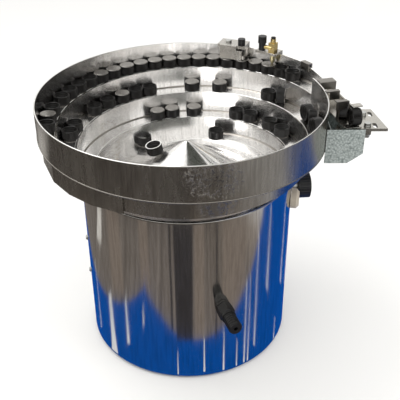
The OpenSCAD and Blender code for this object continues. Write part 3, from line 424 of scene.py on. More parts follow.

# %% [markdown]
# The return pan is lined with hammered enamel: a grey-green skin of small pebbles, each a few
# millimetres across. Its tone is painted light: each crown is painted lighter and the hollows
# between the pebbles darker. A smooth Voronoi pattern gives both this painted light and the relief.

# %% Make the pebbled lining of the pan
PEBBLE, PEBBLE_HEIGHT = 3.2 * MM, 0.8 * MM
pan_lining_painted_light, tree, shader = new_finish("hammered_enamel_painted_crown_light", "#a5aeac", 0.25, 0.34)
place = add_node(tree, "TexCoord").outputs["Object"]
pebbles = add_node(tree, "TexVoronoi", {"Vector": place, "Scale": 1 / PEBBLE}, feature="SMOOTH_F1")
# Painted light and shade: lighter on each pebble's crown, darker in the hollows between.
tone = add_node(tree, "ValToRGB", {"Fac": pebbles.outputs["Distance"]})
tone.color_ramp.elements[0].color = linear("#ced6d4")
tone.color_ramp.elements[1].color = linear("#7a8482")
tone.color_ramp.elements[1].position = 0.75
relief = add_node(tree, "Bump", {"Height": pebbles.outputs["Distance"], "Strength": 0.9,
                                 "Distance": PEBBLE_HEIGHT}, invert=True)
tree.links.new(tone.outputs["Color"], shader.inputs["Base Color"])
tree.links.new(relief.outputs["Normal"], shader.inputs["Normal"])
print("pan lining ready")

# %% [markdown]
# ## Finishes of the solids that stay as they are
# The drive inside the housing is hidden from most sides, and its solids are already right. They
# keep their own meshes and only get their real finish, in the slots of their own objects.

# %% Give the drive its finishes
drive_finishes = {
    grey_paint: ["base_plate", "lower_spring_clamps", "upper_spring_clamps", "top_frame",
                 "magnet_pedestal", "bowl_base"],
    rubber: ["rubber_feet"],
    zinc: ["foot_screws", "housing_struts", "lower_clamp_screws", "upper_clamp_screws",
           "lower_spacers", "upper_spacers", "bowl_bolts"],
    magnet_steel: ["magnet_core", "armature"],
    copper: ["magnet_coil"],
}
for finish, nodes in drive_finishes.items():
    for node in nodes:
        for material_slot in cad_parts[node].material_slots:
            material_slot.material = finish
print("finished solids:", sum(len(n) for n in drive_finishes.values()))

# %% [markdown]
# The leaf springs bend when the bowl twists: their lower ends stay in the base's clamps, and their
# upper ends follow the bowl. A copy is cut into slices along its length, but nothing here makes
# it bend: it rides on no body, and its place is only baked into its mesh.

# %% Slice the leaf springs
SPRING_CLAMP = 24 * MM
low, high = (corner[2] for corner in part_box("leaf_springs"))
bm = node_bmesh("leaf_springs")
for share in (0.2, 0.35, 0.5, 0.65, 0.8):
    bmesh.ops.bisect_plane(bm, geom=bm.verts[:] + bm.edges[:] + bm.faces[:],
                           plane_co=(0, 0, low + (high - low) * share), plane_no=(0, 0, 1))
make_piece("leaf_springs_bending", bm, laminate, "springs", ["leaf_springs"],
           bend=("base", "springs", (0, 0, low + SPRING_CLAMP), (0, 0, high - SPRING_CLAMP)))

# %% [markdown]
# ## The housing
# The housing is one stainless sheet rolled to a cylinder. Its edges are folded in, which shows
# as a thin bright roll at the top and the bottom. A profile of the sheet is spun round the axis.
# Two more points stand 3 mm from the ends of the long side. They keep its shading straight, so
# that the reflections run down to the roll without a hook.

# %% Spin the housing
HOUSING_R, HOUSING_LOW, HOUSING_TOP, HOUSING_WALL = 187 * MM, 4 * MM, 335 * MM, 2 * MM
HOUSING_MIDDLE, ROLL_R, SUPPORT = 170 * MM, 1.2 * MM, 3 * MM


def spin_profile(bm, points, steps=192):
    verts = [bm.verts.new((r, 0, z)) for r, z in points]
    edges = [bm.edges.new((verts[i], verts[i + 1])) for i in range(len(verts) - 1)]
    bmesh.ops.spin(bm, geom=verts + edges, cent=(0, 0, 0), axis=(0, 0, 1), dvec=(0, 0, 0),
                   angle=2 * math.pi, steps=steps, use_merge=True)


bm = bmesh.new()
inner = HOUSING_R - HOUSING_WALL
spin_profile(bm, [
    (inner, HOUSING_LOW), (HOUSING_R - ROLL_R, HOUSING_LOW),
    (HOUSING_R - 0.3 * ROLL_R, HOUSING_LOW + 0.3 * ROLL_R), (HOUSING_R, HOUSING_LOW + ROLL_R),
    (HOUSING_R, HOUSING_LOW + SUPPORT), (HOUSING_R, HOUSING_MIDDLE),
    (HOUSING_R, HOUSING_TOP - SUPPORT), (HOUSING_R, HOUSING_TOP - ROLL_R),
    (HOUSING_R - 0.3 * ROLL_R, HOUSING_TOP - 0.3 * ROLL_R), (HOUSING_R - ROLL_R, HOUSING_TOP),
    (inner, HOUSING_TOP), (inner, HOUSING_LOW)])
make_piece("housing_sheet", bm, housing_steel, "base", ["housing_shell"])

# %% [markdown]
# ## The floor and the pot
# The bottom of the bowl is a cone, so that the caps slide out to the first track. Its tip is
# slightly rounded by the polishing. The pot wall and the sheets of the spiral follow.

# %% Spin the cone
CONE_R, CONE_H, POT_R = 134 * MM, 78 * MM, 180 * MM
FLOOR_SHEET, TIP = 3 * MM, 0.02 * MM
TIP_Z = FLOOR_Z + CONE_H


def cone_level(radius):
    return FLOOR_Z + CONE_H * (1 - radius / CONE_R)


bm = bmesh.new()
spin_profile(bm, [
    (TIP, TIP_Z - 1.6 * MM), (3 * MM, TIP_Z - 2.2 * MM), (8 * MM, TIP_Z - 4.2 * MM),
    (50 * MM, cone_level(50 * MM)), (95 * MM, cone_level(95 * MM)), (CONE_R - 4 * MM, FLOOR_Z + 2.2 * MM),
    (CONE_R + 2 * MM, FLOOR_Z + 0.2 * MM), (CONE_R + 6 * MM, FLOOR_Z), (POT_R, FLOOR_Z),
    (POT_R, FLOOR_Z - FLOOR_SHEET), (CONE_R - 4 * MM, FLOOR_Z - FLOOR_SHEET),
    (TIP, TIP_Z - 5 * MM)], steps=144)
make_piece("cone_floor", bm, bowl_steel, "bowl", ["bowl_floor", "floor_cone"], sharp=50)

# %% [markdown]
# The pot and the steps are upright sheets, and the ledges are flat ones with a ground lip. Each
# is one section that is swept between two turns. The ledges' lips get the finish of a ground edge.

# %% Sweep the sheets of the spiral
LIP_NOSE, LEDGE_GAP, WALL_GAP = 0.7 * MM, 1.2 * MM, 0.4 * MM


def track_section(turn):
    low, high = track_height(turn) - SHEET, track_height(turn)
    inner, outer = lip_radius(turn), wall_radius(turn) - LEDGE_GAP
    return [(inner, low + LIP_NOSE), (inner + LIP_NOSE, low), (outer, low), (outer, high),
            (inner + LIP_NOSE, high), (inner, high - LIP_NOSE)]


def wall_section(turn):
    low, high = track_height(turn) - SHEET, track_height(turn + 1) - WALL_GAP
    return [(wall_radius(turn) - SHEET, low), (wall_radius(turn), low),
            (wall_radius(turn), high), (wall_radius(turn) - SHEET, high)]


def pot_section(turn):
    return [(wall_radius(turn) - SHEET, FLOOR_Z), (wall_radius(turn), FLOOR_Z),
            (wall_radius(turn), track_height(turn + 1) - WALL_GAP),
            (wall_radius(turn) - SHEET, track_height(turn + 1) - WALL_GAP)]


spiral_sheets = [
    ("pot_sheet", pot_section, START_TURN - 1, START_TURN, "pot_wall"),
    ("ledge_lower", track_section, START_TURN, LOWER_END, "track_lower"),
    ("step_lower", wall_section, START_TURN, LOWER_END, "wall_lower"),
    ("ledge_middle", track_section, LOWER_END, MIDDLE_END, "track_middle"),
    ("ledge_upper", track_section, MIDDLE_END, OUTLET_TURN, "track_upper"),
]
for name, section, start, end, node in spiral_sheets:
    bm = bmesh.new()
    sweep(bm, section, start, end)
    lip_finish = edge_steel if "ledge" in name else None
    make_piece(name, bm, bowl_steel, "bowl", [node], inside=lip_finish)

# %% [markdown]
# The wall under the top ledge shows its outside below the rim, so it takes the brushed finish.
# The rim is the highest wall, and its top edge was ground round, which gives the bright line
# that outlines the bowl.

# %% Sweep the rim and the wall below it
WALL_DROP, DROP_TURN, DROP_LENGTH = 5 * MM, -0.86, 0.1


def middle_wall_section(turn):
    """This wall hangs 5 mm below its ledge, except where it starts."""
    drop = WALL_DROP * min(1.0, max(0.0, (turn - DROP_TURN) / DROP_LENGTH))
    low, high = track_height(turn) - SHEET - drop, track_height(turn + 1) - WALL_GAP
    return [(wall_radius(turn) - SHEET, low), (wall_radius(turn), low),
            (wall_radius(turn), high), (wall_radius(turn) - SHEET, high)]


def rim_section(turn):
    return rounded_bar(wall_radius(turn) - SHEET, wall_radius(turn),
                       track_height(turn) - SHEET, rim_height(turn))


bm = bmesh.new()
sweep(bm, middle_wall_section, LOWER_END, MIDDLE_END)
make_piece("step_middle", bm, rim_steel, "bowl", ["wall_middle"], inside=bowl_steel)
bm = bmesh.new()
sweep(bm, rim_section, MIDDLE_END, OUTLET_TURN)
make_piece("rim_sheet", bm, rim_steel, "bowl", ["rim_wall"], inside=bowl_steel,
           top=edge_steel)

# %% [markdown]
# The ledges are welded to the walls from above. A weld is a small ribbon of metal that fills the
# corner, about 2 mm high, with the ripples that the torch leaves. It runs along every ledge.
# Its section is six points, in millimetres out from the wall's inner face and up from the ledge.

# %% Lay the weld beads
WELD_OUTLINE = [(-2.2, -0.3), (0.5, -0.3), (0.5, 2.2), (-0.2, 2.1), (-0.9, 0.9), (-2.1, 0.2)]
WELD_START, WELD_STOP = -2.2, 0.004


def weld_section(turn):
    corner, level = wall_radius(turn) - SHEET, track_height(turn)
    return [(corner + out * MM, level + up * MM) for out, up in WELD_OUTLINE]


bm = bmesh.new()
sweep(bm, weld_section, WELD_START, OUTLET_TURN - WELD_STOP, steps_per_turn=120)
make_piece("weld_along_ledges", bm, weld_steel, "bowl", sharp=50)

# %% [markdown]
# The rim is welded to the top ledge from outside as well. That bead stands out by less than a
# millimetre and draws a fine line round the bowl, between the rim and the wall below it.

# %% Lay the bead under the rim
BEAD_R, BEAD_SUNK, BEAD_ROOT = 1.2 * MM, 0.5 * MM, 0.9 * MM


def hem_section(turn):
    radius, level = wall_radius(turn), track_height(turn) - BEAD_R
    crown = [(radius + BEAD_R * math.cos(math.radians(a)) - BEAD_SUNK,
              level + BEAD_R * math.sin(math.radians(a))) for a in (-65, -40, -15, 15, 40, 65)]
    return [(radius - BEAD_ROOT, level - BEAD_R), *crown, (radius - BEAD_ROOT, level + BEAD_R)]


bm = bmesh.new()
sweep(bm, hem_section, -0.03, 0.93, steps_per_turn=140)
make_piece("weld_under_rim", bm, weld_steel, "bowl", sharp=50)

# %% [markdown]
# On the left the rim stands out over the housing, and straight plates were welded under it.
# Each plate is flat, so this sweep takes one step from weld to weld and keeps its corners.

# %% Sweep the skirt plates
SKIRT_TURNS = [0.32, 0.361, 0.396, 0.43, 0.478, 0.54, 0.6]
SKIRT_Z, SKIRT_END_R = 362 * MM, 248.04 * MM
skirt_start_r = wall_radius(SKIRT_TURNS[0] - 1) + SHEET + SEAT


def skirt_radius(turn):
    share = min(1.0, (turn - SKIRT_TURNS[0]) / (SKIRT_TURNS[4] - SKIRT_TURNS[0]))
    return skirt_start_r + (SKIRT_END_R - skirt_start_r) * share


def skirt_section(turn):
    top = track_height(turn) - SHEET - SEAT
    return [(skirt_radius(turn) - SHEET, SKIRT_Z), (skirt_radius(turn), SKIRT_Z),
            (skirt_radius(turn), top), (skirt_radius(turn) - SHEET, top)]


def plate_chain(bm, section, stops):
    """Flat plates from stop to stop, bridged from one closed section to the next."""
    rings = []
    for turn in stops:
        rings.append([bm.verts.new(spiral_point(turn, *point)) for point in section(turn)])
    loops = [[bm.edges.new((ring[i - 1], ring[i])) for i in range(len(ring))] for ring in rings]
    for a, b in zip(loops, loops[1:]):
        bmesh.ops.bridge_loops(bm, edges=a + b)
    bmesh.ops.edgeloop_fill(bm, edges=loops[0])
    bmesh.ops.edgeloop_fill(bm, edges=loops[-1])


bm = bmesh.new()
plate_chain(bm, skirt_section, SKIRT_TURNS)
end_turn = SKIRT_TURNS[-1]
END_PLATE_TURN = 0.0016


def end_plate_section(turn):
    """The plate that closes the skirt's end is the same at both of its faces."""
    near, far = wall_radius(end_turn - 1) + SEAT, SKIRT_END_R - SHEET / 2
    top = track_height(SKIRT_TURNS[0]) - SHEET - SEAT
    return [(near, SKIRT_Z), (far, SKIRT_Z), (far, top), (near, top)]


plate_chain(bm, end_plate_section, [end_turn - END_PLATE_TURN, end_turn])
make_piece("skirt_plates", bm, rim_steel, "bowl", ["left_skirt"], sharp=3)

# %% [markdown]
# ## The outlet and its fittings
# Brackets, blocks and screws are machined parts. Their solids have the right shape already,
# so each gets a copy with broken edges. The bevel is 0.4 mm on sheet and 0.8 mm on blocks.

# %% Break the edges of the outlet's parts
SHEET_BREAK, BLOCK_BREAK, KNOB_BREAK = 0.4 * MM, 0.8 * MM, 0.5 * MM
for node in ["outlet_track", "outlet_guard", "chute_sheet", "guard_tab"]:
    refine(node, machined_steel, "bowl", SHEET_BREAK)
for node in ["hold_down_rear", "hold_down_front", "rim_clip"]:
    refine(node, tool_steel, "bowl", SHEET_BREAK)
for node in ["outlet_plate", "clamp_bar", "gate_bracket", "air_bracket"]:
    refine(node, machined_steel, "bowl", BLOCK_BREAK, 3)
refine("tooling_block", tool_steel, "bowl", BLOCK_BREAK, 3)
refine("return_pan", pan_lining_painted_light, "bowl", 0.6 * MM, 3)
refine("gate_blade", machined_steel, "gate_blade", SHEET_BREAK)
for node in ["plate_screws", "gate_lock_screw"]:
    refine(node, zinc, "bowl", SHEET_BREAK)

# %% [markdown]
# The air jet blows wrongly turned caps off the track. Its brass elbow and its nozzle tube were
# turned on a lathe, and its valve, its collar and both knobs are moulded in black nylon.

# %% Break the edges of the air jet and the knobs
refine("air_elbow", brass, "bowl", SHEET_BREAK)
refine("air_nozzle", pale_brass, "bowl", 0.3 * MM)
refine("air_valve", black_nylon, "bowl", SHEET_BREAK)
refine("air_collar", black_nylon, "air_collar", 0.2 * MM)
refine("gate_knob", black_nylon, "gate_knob", KNOB_BREAK)
refine("flow_knob", black_nylon, "flow_knob", KNOB_BREAK)

# %% [markdown]
# ## Fittings on the housing
# A cable gland of black nylon, a black clamp knob with a pale end cap, its collar, and a beige
# boss beside it. They are moulded or turned, so their edges are slightly rounder.

# %% Break the edges of the housing's fittings
for node in ["gland_body", "gland_nut", "gland_sleeve"]:
    refine(node, black_nylon, "base", 0.6 * MM, 3)
refine("knob_collar", zinc, "base", KNOB_BREAK)
refine("housing_screws", zinc, "base", SHEET_BREAK)
refine("side_boss", beige_plastic, "base", 1.2 * MM, 3)
refine("housing_knob", black_nylon, "clamp_knob", BLOCK_BREAK, 3)
refine("knob_cap", pale_plastic, "clamp_knob", 0.6 * MM, 3)

# %% [markdown]
# ## The caps in the bowl
# Each cap is moulded with fine grip ribs on its side, a rounded top edge and a flat top. It is
# built once from a circle whose ribs are every second point, extruded ring by ring, and then
# copied to its places. A cap that shows its open side gets a bore with two threads and a liner.
# The numbers of a ring are its height, then the radius at a rib and in a valley, as shares.

# %% Build one cap
CAP_R, CAP_H, RIBS = 14.6 * MM, 17 * MM, 40


def cap_bmesh(hollow=False, painted_highlight_rim=False):
    """One cap that stands on its open side, with its axis at the origin."""
    bm = bmesh.new()
    circle = bmesh.ops.create_circle(bm, cap_ends=False, radius=1.0, segments=2 * RIBS)["verts"]
    edges = list(bm.edges)
    foot = list(edges)
    rings = [(0.0, 0.93, 0.93), (0.3 * MM, 0.985, 0.985), (1.5 * MM, 1.0, 0.985), (1.8 * MM, 1.0, 0.955),
             (CAP_H - 3.2 * MM, 1.0, 0.955), (CAP_H - 2.2 * MM, 0.985, 0.965),
             (CAP_H - 1.0 * MM, 0.975, 0.975), (CAP_H - 0.3 * MM, 0.945, 0.945), (CAP_H, 0.91, 0.91)]
    bore = [(0.4 * MM, 0.86, 0.86), (3.0 * MM, 0.86, 0.86), (3.6 * MM, 0.82, 0.82), (4.4 * MM, 0.86, 0.86),
            (7.0 * MM, 0.86, 0.86), (7.6 * MM, 0.82, 0.82), (8.4 * MM, 0.86, 0.86),
            (CAP_H - 2.5 * MM, 0.86, 0.86)]
    start = {vert: i for i, vert in enumerate(circle)}

    def place_ring(ring, height, rib, valley):
        for vert, i in ring.items():
            angle = math.pi * i / RIBS
            radius = CAP_R * (rib if i % 2 else valley)
            vert.co = Vector((radius * math.cos(angle), radius * math.sin(angle), height))

    def climb(edges, ring, profile):
        for height, rib, valley in profile:
            edges, ring = next_ring(bm, edges, ring)
            place_ring(ring, height, rib, valley)
        return edges

    place_ring(start, *rings[0])
    disc = climb(edges, start, rings[1:])
    # The top disc and the faces near the top get the grey top finish: a painted reflection of the ceiling.
    for face in bmesh.ops.edgeloop_fill(bm, edges=disc)["faces"]:
        face.material_index = 1
    inner = climb(foot, start, bore) if hollow else foot
    for face in bmesh.ops.edgeloop_fill(bm, edges=inner)["faces"]:
        face.material_index = 2 if hollow else 0
    for face in bm.faces:
        height = face.calc_center_median().z
        if height > CAP_H - 1.6 * MM:
            face.material_index = 1
        # The foot ring of the cap on the cone gets the white liner finish: a painted highlight.
        elif painted_highlight_rim and height < 0.35 * MM:
            face.material_index = 2
    bmesh.ops.recalc_face_normals(bm, faces=bm.faces)
    return bm


def copy_caps(name, places, hollow=False, painted_highlight_rim=False):
    """Copy one cap to each place, as a single piece that rides on the bowl."""
    one = cap_bmesh(hollow, painted_highlight_rim)
    source = bpy.data.meshes.new(name + "_source")
    one.to_mesh(source)
    one.free()
    bm = bmesh.new()
    for matrix in places:
        before = len(bm.verts)
        bm.from_mesh(source)
        bm.verts.ensure_lookup_table()
        bmesh.ops.transform(bm, matrix=matrix, verts=bm.verts[before:])
    bpy.data.meshes.remove(source)
    return make_piece(name, bm, cap_plastic, "bowl", sharp=30, more=(cap_top_painted_reflection, liner_and_painted_highlight))


# %% [markdown]
# Caps that are fed stand on the track with one side against the wall. Their places are turns on
# the spiral, taken from the real one and rounded. The top row has no gaps: its caps push one another.
# Some caps stand on their tops, with the open side up, and a few have tipped over.

# %% Ways to lay a cap down
FROM_LIP = 12.4 * MM


def standing(turn, out=FROM_LIP, lift=0.0, lean=0.0, flipped=False):
    """A cap on the track, out from the lip. A flipped one shows its open side."""
    spot = spiral_point(turn, lip_radius(turn) + out, track_height(turn) + 0.1 * MM + lift)
    if flipped:
        spot.z += CAP_H
    turned = Matrix.Rotation(-2 * math.pi * turn, 4, "Z") @ Matrix.Rotation(math.radians(lean), 4, "X")
    return Matrix.Translation(spot) @ turned @ Matrix.Rotation(math.pi if flipped else 0.0, 4, "X")


def tipped(turn, heading):
    """A cap that lies on its side on the track."""
    middle = spiral_point(turn, lip_radius(turn) + CAP_R, track_height(turn) + CAP_R + 0.2 * MM)
    turned = Matrix.Rotation(math.radians(heading) - 2 * math.pi * turn, 4, "Z")
    lean = Matrix.Rotation(math.radians(90), 4, "Y")
    return Matrix.Translation(middle) @ turned @ lean @ Matrix.Translation((0, 0, -CAP_H / 2))


def loose(x, y, z, tilt=0.0, heading=0.0, flipped=False):
    """A cap whose middle lies at x, y, z in millimetres, tilted towards the heading in degrees."""
    turn_over = Matrix.Rotation(math.pi if flipped else 0.0, 4, "X")
    lean = Matrix.Rotation(math.radians(heading), 4, "Z") @ Matrix.Rotation(math.radians(tilt), 4, "Y")
    down = Matrix.Translation((0, 0, -CAP_H / 2))
    return Matrix.Translation(Vector((x, y, z)) * MM) @ lean @ turn_over @ down


def row(first, last):
    """Turns of caps that push one another along the track."""
    turns, turn = [], first
    while turn <= last:
        turns.append(turn)
        radius = lip_radius(turn) + FROM_LIP
        turn += 2 * CAP_R / (2 * math.pi * radius)
    return turns


# %% Lay the caps in the bowl
top_row = row(0.552, 0.914)
copy_caps("caps_top_row", [standing(t) for t in top_row[4:-2]])
copy_caps("caps_top_row_open", [standing(t, flipped=True) for t in top_row[:4] + top_row[-2:]], hollow=True)
copy_caps("caps_middle_row", [standing(t) for t in (-0.352, -0.244, -0.203)])
copy_caps("caps_middle_row_open", [standing(t, flipped=True) for t in (
    -0.406, -0.379, -0.330, -0.308, -0.124)] + [tipped(-0.102, -50)], hollow=True)
copy_caps("caps_lower_row", [standing(t) for t in (-1.303, -1.277, -1.240)])
copy_caps("caps_lower_row_open", [standing(t, flipped=True) for t in (
    -1.165, -1.139, -1.097, -1.064)], hollow=True)
copy_caps("caps_left_pile", [standing(0.522, flipped=True), standing(0.500, lift=1.0 * MM, lean=4),
                             standing(0.4775, lift=1.5 * MM, lean=5, flipped=True),
                             standing(-0.462, flipped=True), standing(-0.485, flipped=True)], hollow=True)
copy_caps("caps_right_pile", [tipped(0.004, 20), tipped(-0.0175, -15), tipped(-0.0385, 5)], hollow=True)
copy_caps("caps_loose", [standing(-2.19, out=5 * MM, flipped=True), loose(-86, 138, 317, 0, 0, True)],
          hollow=True)
copy_caps("cap_on_the_cone", [loose(-57, 3, 368, 12, 200, True)], hollow=True, painted_highlight_rim=True)
copy_caps("caps_at_outlet", [loose(277, -51, 453, 90, 8), loose(264, -20, 453, 90, -12)], hollow=True)
print("caps in the top row:", len(top_row))

# %% [markdown]
# ## Floor and surroundings
# The feeder stands on a plain pale floor in soft studio light. Polished steel shows only what
# is round it, so flat cards on the floor and overhead give it something to mirror, as a
# photographer's reflectors do. A blue bench top lies round the housing, warm grey ground lies
# beyond it, and narrow pale strips stand for the windows and lamps of a workshop. The cards are
# seen in reflections only: the camera, the shadows and the plain floor know nothing of them.

# %% Lay the floor
def stage_mesh(name, bm):
    """Make an object of the stage, which isn't a part of the feeder."""
    mesh = bpy.data.meshes.new(name)
    bm.to_mesh(mesh)
    bm.free()
    piece = bpy.data.objects.new(name, mesh)
    bpy.context.collection.objects.link(piece)
    return piece


def flat_mesh(name, shapes, height):
    """Flat outlines, given in millimetres, that lie at one height and face upwards."""
    bm = bmesh.new()
    for corners in shapes:
        face = bm.faces.new([bm.verts.new((x * MM, y * MM, height)) for x, y in corners])
        face.normal_update()
        if face.normal.z < 0:
            face.normal_flip()
    return stage_mesh(name, bm)


def square(half):
    return [(-half, -half), (half, -half), (half, half), (-half, half)]


FLOOR_HALF, GROUND_HALF = 9000, 8900
floor = flat_mesh("studio_floor", [square(FLOOR_HALF)], -0.5 * MM)
floor.data.materials.append(new_finish("pale_floor", "#fbfbfa", 0.0, 0.7)[0])
print("floor:", 2 * FLOOR_HALF, "mm wide")

# %% [markdown]
# A card glows in its own colour, so its reflection keeps that colour wherever it falls. Only
# glossy rays see it, so it lights nothing and hides nothing.

# %% Ways to make a card
def glowing(name, colour):
    material, tree, shader = new_finish(name, "#000000", 0.0, 1.0)
    shader.inputs["Emission Color"].default_value = linear(colour)
    shader.inputs["Emission Strength"].default_value = 1.0
    shader.inputs["Specular IOR Level"].default_value = 0.0
    return material


def seen_by_mirrors(card, material):
    card.data.materials.append(material)
    card.visible_camera = False
    card.visible_diffuse = False
    card.visible_shadow = False
    card.visible_transmission = False


def reflection_card(name, shapes, height, material):
    seen_by_mirrors(flat_mesh(name, shapes, height), material)


def strip(start, end, width):
    """A long narrow rectangle from start to end, in millimetres."""
    along = Vector(end) - Vector(start)
    side = Vector((-along.y, along.x)).normalized() * width / 2
    return [Vector(start) - side, Vector(end) - side, Vector(end) + side, Vector(start) + side]


# %% [markdown]
# The warm ground card is painted light: it glows a warm grey that grows lighter to the right. Painted
# rays of light and shade run out over it from the housing, and the cylinder turns them into upright
# streaks. Beyond 0.85 m its glow is a painted shade, so the rim, which mirrors the far ground, stays darker
# than the housing.

# %% Lay the warm ground
ground_glow = glowing("warm_ground_card", "#746d66")
tree = ground_glow.node_tree
shader = tree.nodes["Principled BSDF"]
place = add_node(tree, "TexCoord").outputs["Object"]
spot = add_node(tree, "SeparateXYZ", {"Vector": place})
across = add_node(tree, "MapRange", {"Value": spot.outputs["X"], "From Min": -0.55, "From Max": 0.75})
shade = add_node(tree, "ValToRGB", {"Fac": across.outputs["Result"]})
shade.color_ramp.elements[0].color = linear("#77716c")
shade.color_ramp.elements[1].color = linear("#ffffff")
for position, colour in [(0.45, "#7b7470"), (0.62, "#736c66"), (0.84, "#968d85")]:
    shade.color_ramp.elements.new(position).color = linear(colour)
# Painted rays of light and shade, round the housing's axis.
angle = add_node(tree, "Math", {0: spot.outputs["Y"], 1: spot.outputs["X"]}, operation="ARCTAN2")
rays = add_node(tree, "TexNoise", {"W": angle.outputs["Value"], "Scale": 14.0, "Detail": 5.0,
                                   "Roughness": 0.7}, noise_dimensions="1D")
painted_ray_strength = add_node(tree, "MapRange", {"Value": rays.outputs["Fac"], "From Min": 0.3, "From Max": 0.7,
                                        "To Min": 0.72, "To Max": 1.25})
# Painted shade: the glow falls to 0.4 between 0.6 and 0.85 m from the axis.
reach = add_node(tree, "VectorMath", {0: place}, operation="LENGTH")
painted_far_shade = add_node(tree, "MapRange", {"Value": reach.outputs["Value"], "From Min": 0.6, "From Max": 0.85,
                                       "To Min": 1.0, "To Max": 0.4})
power = add_node(tree, "Math", {0: painted_ray_strength.outputs["Result"], 1: painted_far_shade.outputs["Result"]},
                 operation="MULTIPLY")
tree.links.new(shade.outputs["Color"], shader.inputs["Emission Color"])
tree.links.new(power.outputs["Value"], shader.inputs["Emission Strength"])
reflection_card("warm_ground", [square(GROUND_HALF)], 1 * MM, ground_glow)
print("ground:", 2 * GROUND_HALF, "mm wide")

# %% [markdown]
# The bench top lies just above the ground and ends behind the housing. Its outline follows how
# high the blue climbs on the steel of the real feeder, and needs ten corners, rounded to 10 mm.
# A blue crate and a few pale patches lie to the sides.

# %% Lay the blue bench
bench_edge = [(1400, 60), (630, -140), (280, -250), (-30, -290), (-130, -320), (-260, -330),
              (-300, -70), (-340, 230), (-340, 420), (620, 420)]
reflection_card("blue_bench", [bench_edge], 2 * MM, glowing("blue_bench_card", "#0c50a8"))
reflection_card("blue_crate", [[(925, -260), (1120, -260), (1120, 250), (925, 250)]], 2 * MM,
                glowing("blue_crate_card", "#2a52a4"))
reflection_card("pale_patches", [
    [(-640, 610), (-840, 330), (-1060, 470), (-740, 810)], [(650, 560), (790, 430), (980, 480), (820, 680)],
    strip((-640, 56), (-470, 52), 70)], 2 * MM, glowing("pale_patch_card", "#e2e0dc"))
print("bench outline:", len(bench_edge), "corners")

# %% [markdown]
# A cylinder squeezes the room sideways, so a long strip that points away from it is seen as a
# thin upright streak. To lay a strip where a streak is wanted, the line of sight is mirrored at
# that point of the housing and followed down to the floor. A streak is given by its direction
# round the housing in degrees, its two ends as heights in millimetres, and its width in degrees.
# The values in the lists below were taken from the real feeder and rounded.

# %% Find where a streak has to lie
def mirrored_spot(azimuth, height):
    """The place on the floor that the housing mirrors at this azimuth and height, in millimetres."""
    normal = Vector((math.cos(math.radians(azimuth)), math.sin(math.radians(azimuth)), 0.0))
    point = normal * HOUSING_R + Vector((0.0, 0.0, height * MM))
    ray = point - camera.location
    ray -= 2 * ray.dot(normal) * normal
    spot = point - ray * point.z / ray.z
    return spot.x / MM, spot.y / MM


def streak(azimuth, low, high, width, taper=0.4):
    """A ray on the floor that is seen as an upright streak, tapered towards its upper end."""
    low_half, high_half = width / 2, width / 2 * taper
    return [mirrored_spot(azimuth - low_half, low), mirrored_spot(azimuth + low_half, low),
            mirrored_spot(azimuth + high_half, high), mirrored_spot(azimuth - high_half, high)]


# %% [markdown]
# Wide warm columns soften the upper part of the housing, pale strips draw the bright lines on
# the blue, and three dark ones stand for the shadows between them.

# %% Lay the streaks
reflection_card("warm_columns", [streak(-130, 165, 345, 9, 1), streak(-111.5, 140, 345, 5, 1),
                                 streak(-83.5, 70, 345, 5, 1), streak(-65, 150, 345, 13, 1)],
                1.5 * MM, glowing("warm_column_card", "#857b73"))
reflection_card("pale_strips", [streak(*values) for values in (
    (-152, 30, 190, 1), (-137.5, 5, 145, 6), (-125, 50, 155, 2), (-114, 110, 150, 1),
    (-95.5, 5, 60, 0.7), (-81, 10, 90, 1), (-70, 5, 100, 1), (-62, 5, 70, 0.8), (-57, 5, 200, 1),
    (-54.5, 5, 205, 0.8), (-50, 35, 290, 1), (-41.5, 150, 330, 1.3), (-30, 5, 60, 1),
    (-25, 130, 305, 1.3), (-14, 100, 275, 1.3))],
    3 * MM, glowing("pale_strip_card", "#eef0f5"))
reflection_card("dark_strips", [
    streak(-91.5, 90, 350, 8.5, 1.1), streak(-98, 110, 350, 1, 1), streak(-74.5, 90, 350, 0.8, 1)],
    2 * MM, glowing("dark_strip_card", "#3d3b3d"))

# %% [markdown]
# The room is darker on the right. A tall screen stands there, 1.9 m high, and a dark panel with
# two bars beside it hangs 2.4 m up. The panel draws the dark wedge on the front of the cone, and
# the bars draw the fine dark rays on its right.

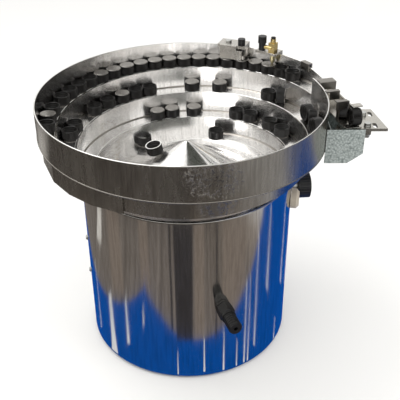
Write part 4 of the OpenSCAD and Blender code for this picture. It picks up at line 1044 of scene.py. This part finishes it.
# %% Stand the dark screens
SCREEN_START, SCREEN_END, SCREEN_HEIGHT = (2.6, -1.2), (2.0, 3.4), 1.9
bm = bmesh.new()
bm.faces.new([bm.verts.new(corner) for corner in (
    (*SCREEN_START, 0.0), (*SCREEN_END, 0.0),
    (*SCREEN_END, SCREEN_HEIGHT), (*SCREEN_START, SCREEN_HEIGHT))])
seen_by_mirrors(stage_mesh("right_screen", bm), glowing("dark_screen_card", "#5c5853"))
reflection_card("overhead_panel", [
    [(0, -800), (2010, -800), (2010, 450), (1010, 1450), (0, 1450)],
    [(2200, 770), (1200, 1770), (1400, 2160), (2400, 1160)],
    [(2500, 1430), (1500, 2430), (1656, 2750), (2656, 1750)]], 2400 * MM,
    glowing("overhead_panel_card", "#363932"))

# %% [markdown]
# ## Light
# A large soft lamp hangs over the bowl, and two more fill from the left and the right of the
# camera. The fills are hidden from mirrors, so the steel shows only one lamp. The world stays at
# a plain strength of 1, white for the camera and nearly white for everything else.

# %% Hang the lamps
LAMP_SIZE = 1.2


def soft_lamp(name, place, aim, power, mirrored=True):
    data = bpy.data.lights.new(name, "AREA")
    data.shape = "RECTANGLE"
    data.size, data.size_y = LAMP_SIZE, LAMP_SIZE
    data.energy = power
    lamp = bpy.data.objects.new(name, data)
    bpy.context.collection.objects.link(lamp)
    lamp.location = place
    lamp.rotation_euler = (Vector(aim) - Vector(place)).to_track_quat("-Z", "Y").to_euler()
    lamp.visible_glossy = mirrored
    return lamp


soft_lamp("overhead_softbox", (-0.9, 0.4, 2.2), (0, 0, 0.4), power=14)
soft_lamp("left_fill", (-1.9, -1.2, 1.6), (0, 0, 0.3), power=3, mirrored=False)
soft_lamp("right_fill", (1.9, -1.0, 1.8), (0.4, 0, 0.0), power=14, mirrored=False)

# %% Fill the world with plain light
world = bpy.data.worlds.new("studio_air")
bpy.context.scene.world = world
world.use_nodes = True
tree = world.node_tree
tree.nodes.clear()
path = add_node(tree, "LightPath")
soft = add_node(tree, "Background", {"Color": linear("#fdfcfa"), "Strength": 1.0})
white = add_node(tree, "Background", {"Color": (1, 1, 1, 1), "Strength": 1.0})
ceiling = add_node(tree, "Background", {"Color": linear("#fffefb"), "Strength": 1.0})
mirrored = add_node(tree, "MixShader", {0: path.outputs["Is Glossy Ray"], 1: soft.outputs["Background"],
                                        2: ceiling.outputs["Background"]})
shown = add_node(tree, "MixShader", {0: path.outputs["Is Camera Ray"], 1: mirrored.outputs["Shader"],
                                     2: white.outputs["Background"]})
output = add_node(tree, "OutputWorld", {"Surface": shown.outputs["Shader"]})
bpy.context.scene.view_settings.view_transform = "Standard"
print("view transform:", bpy.context.scene.view_settings.view_transform)
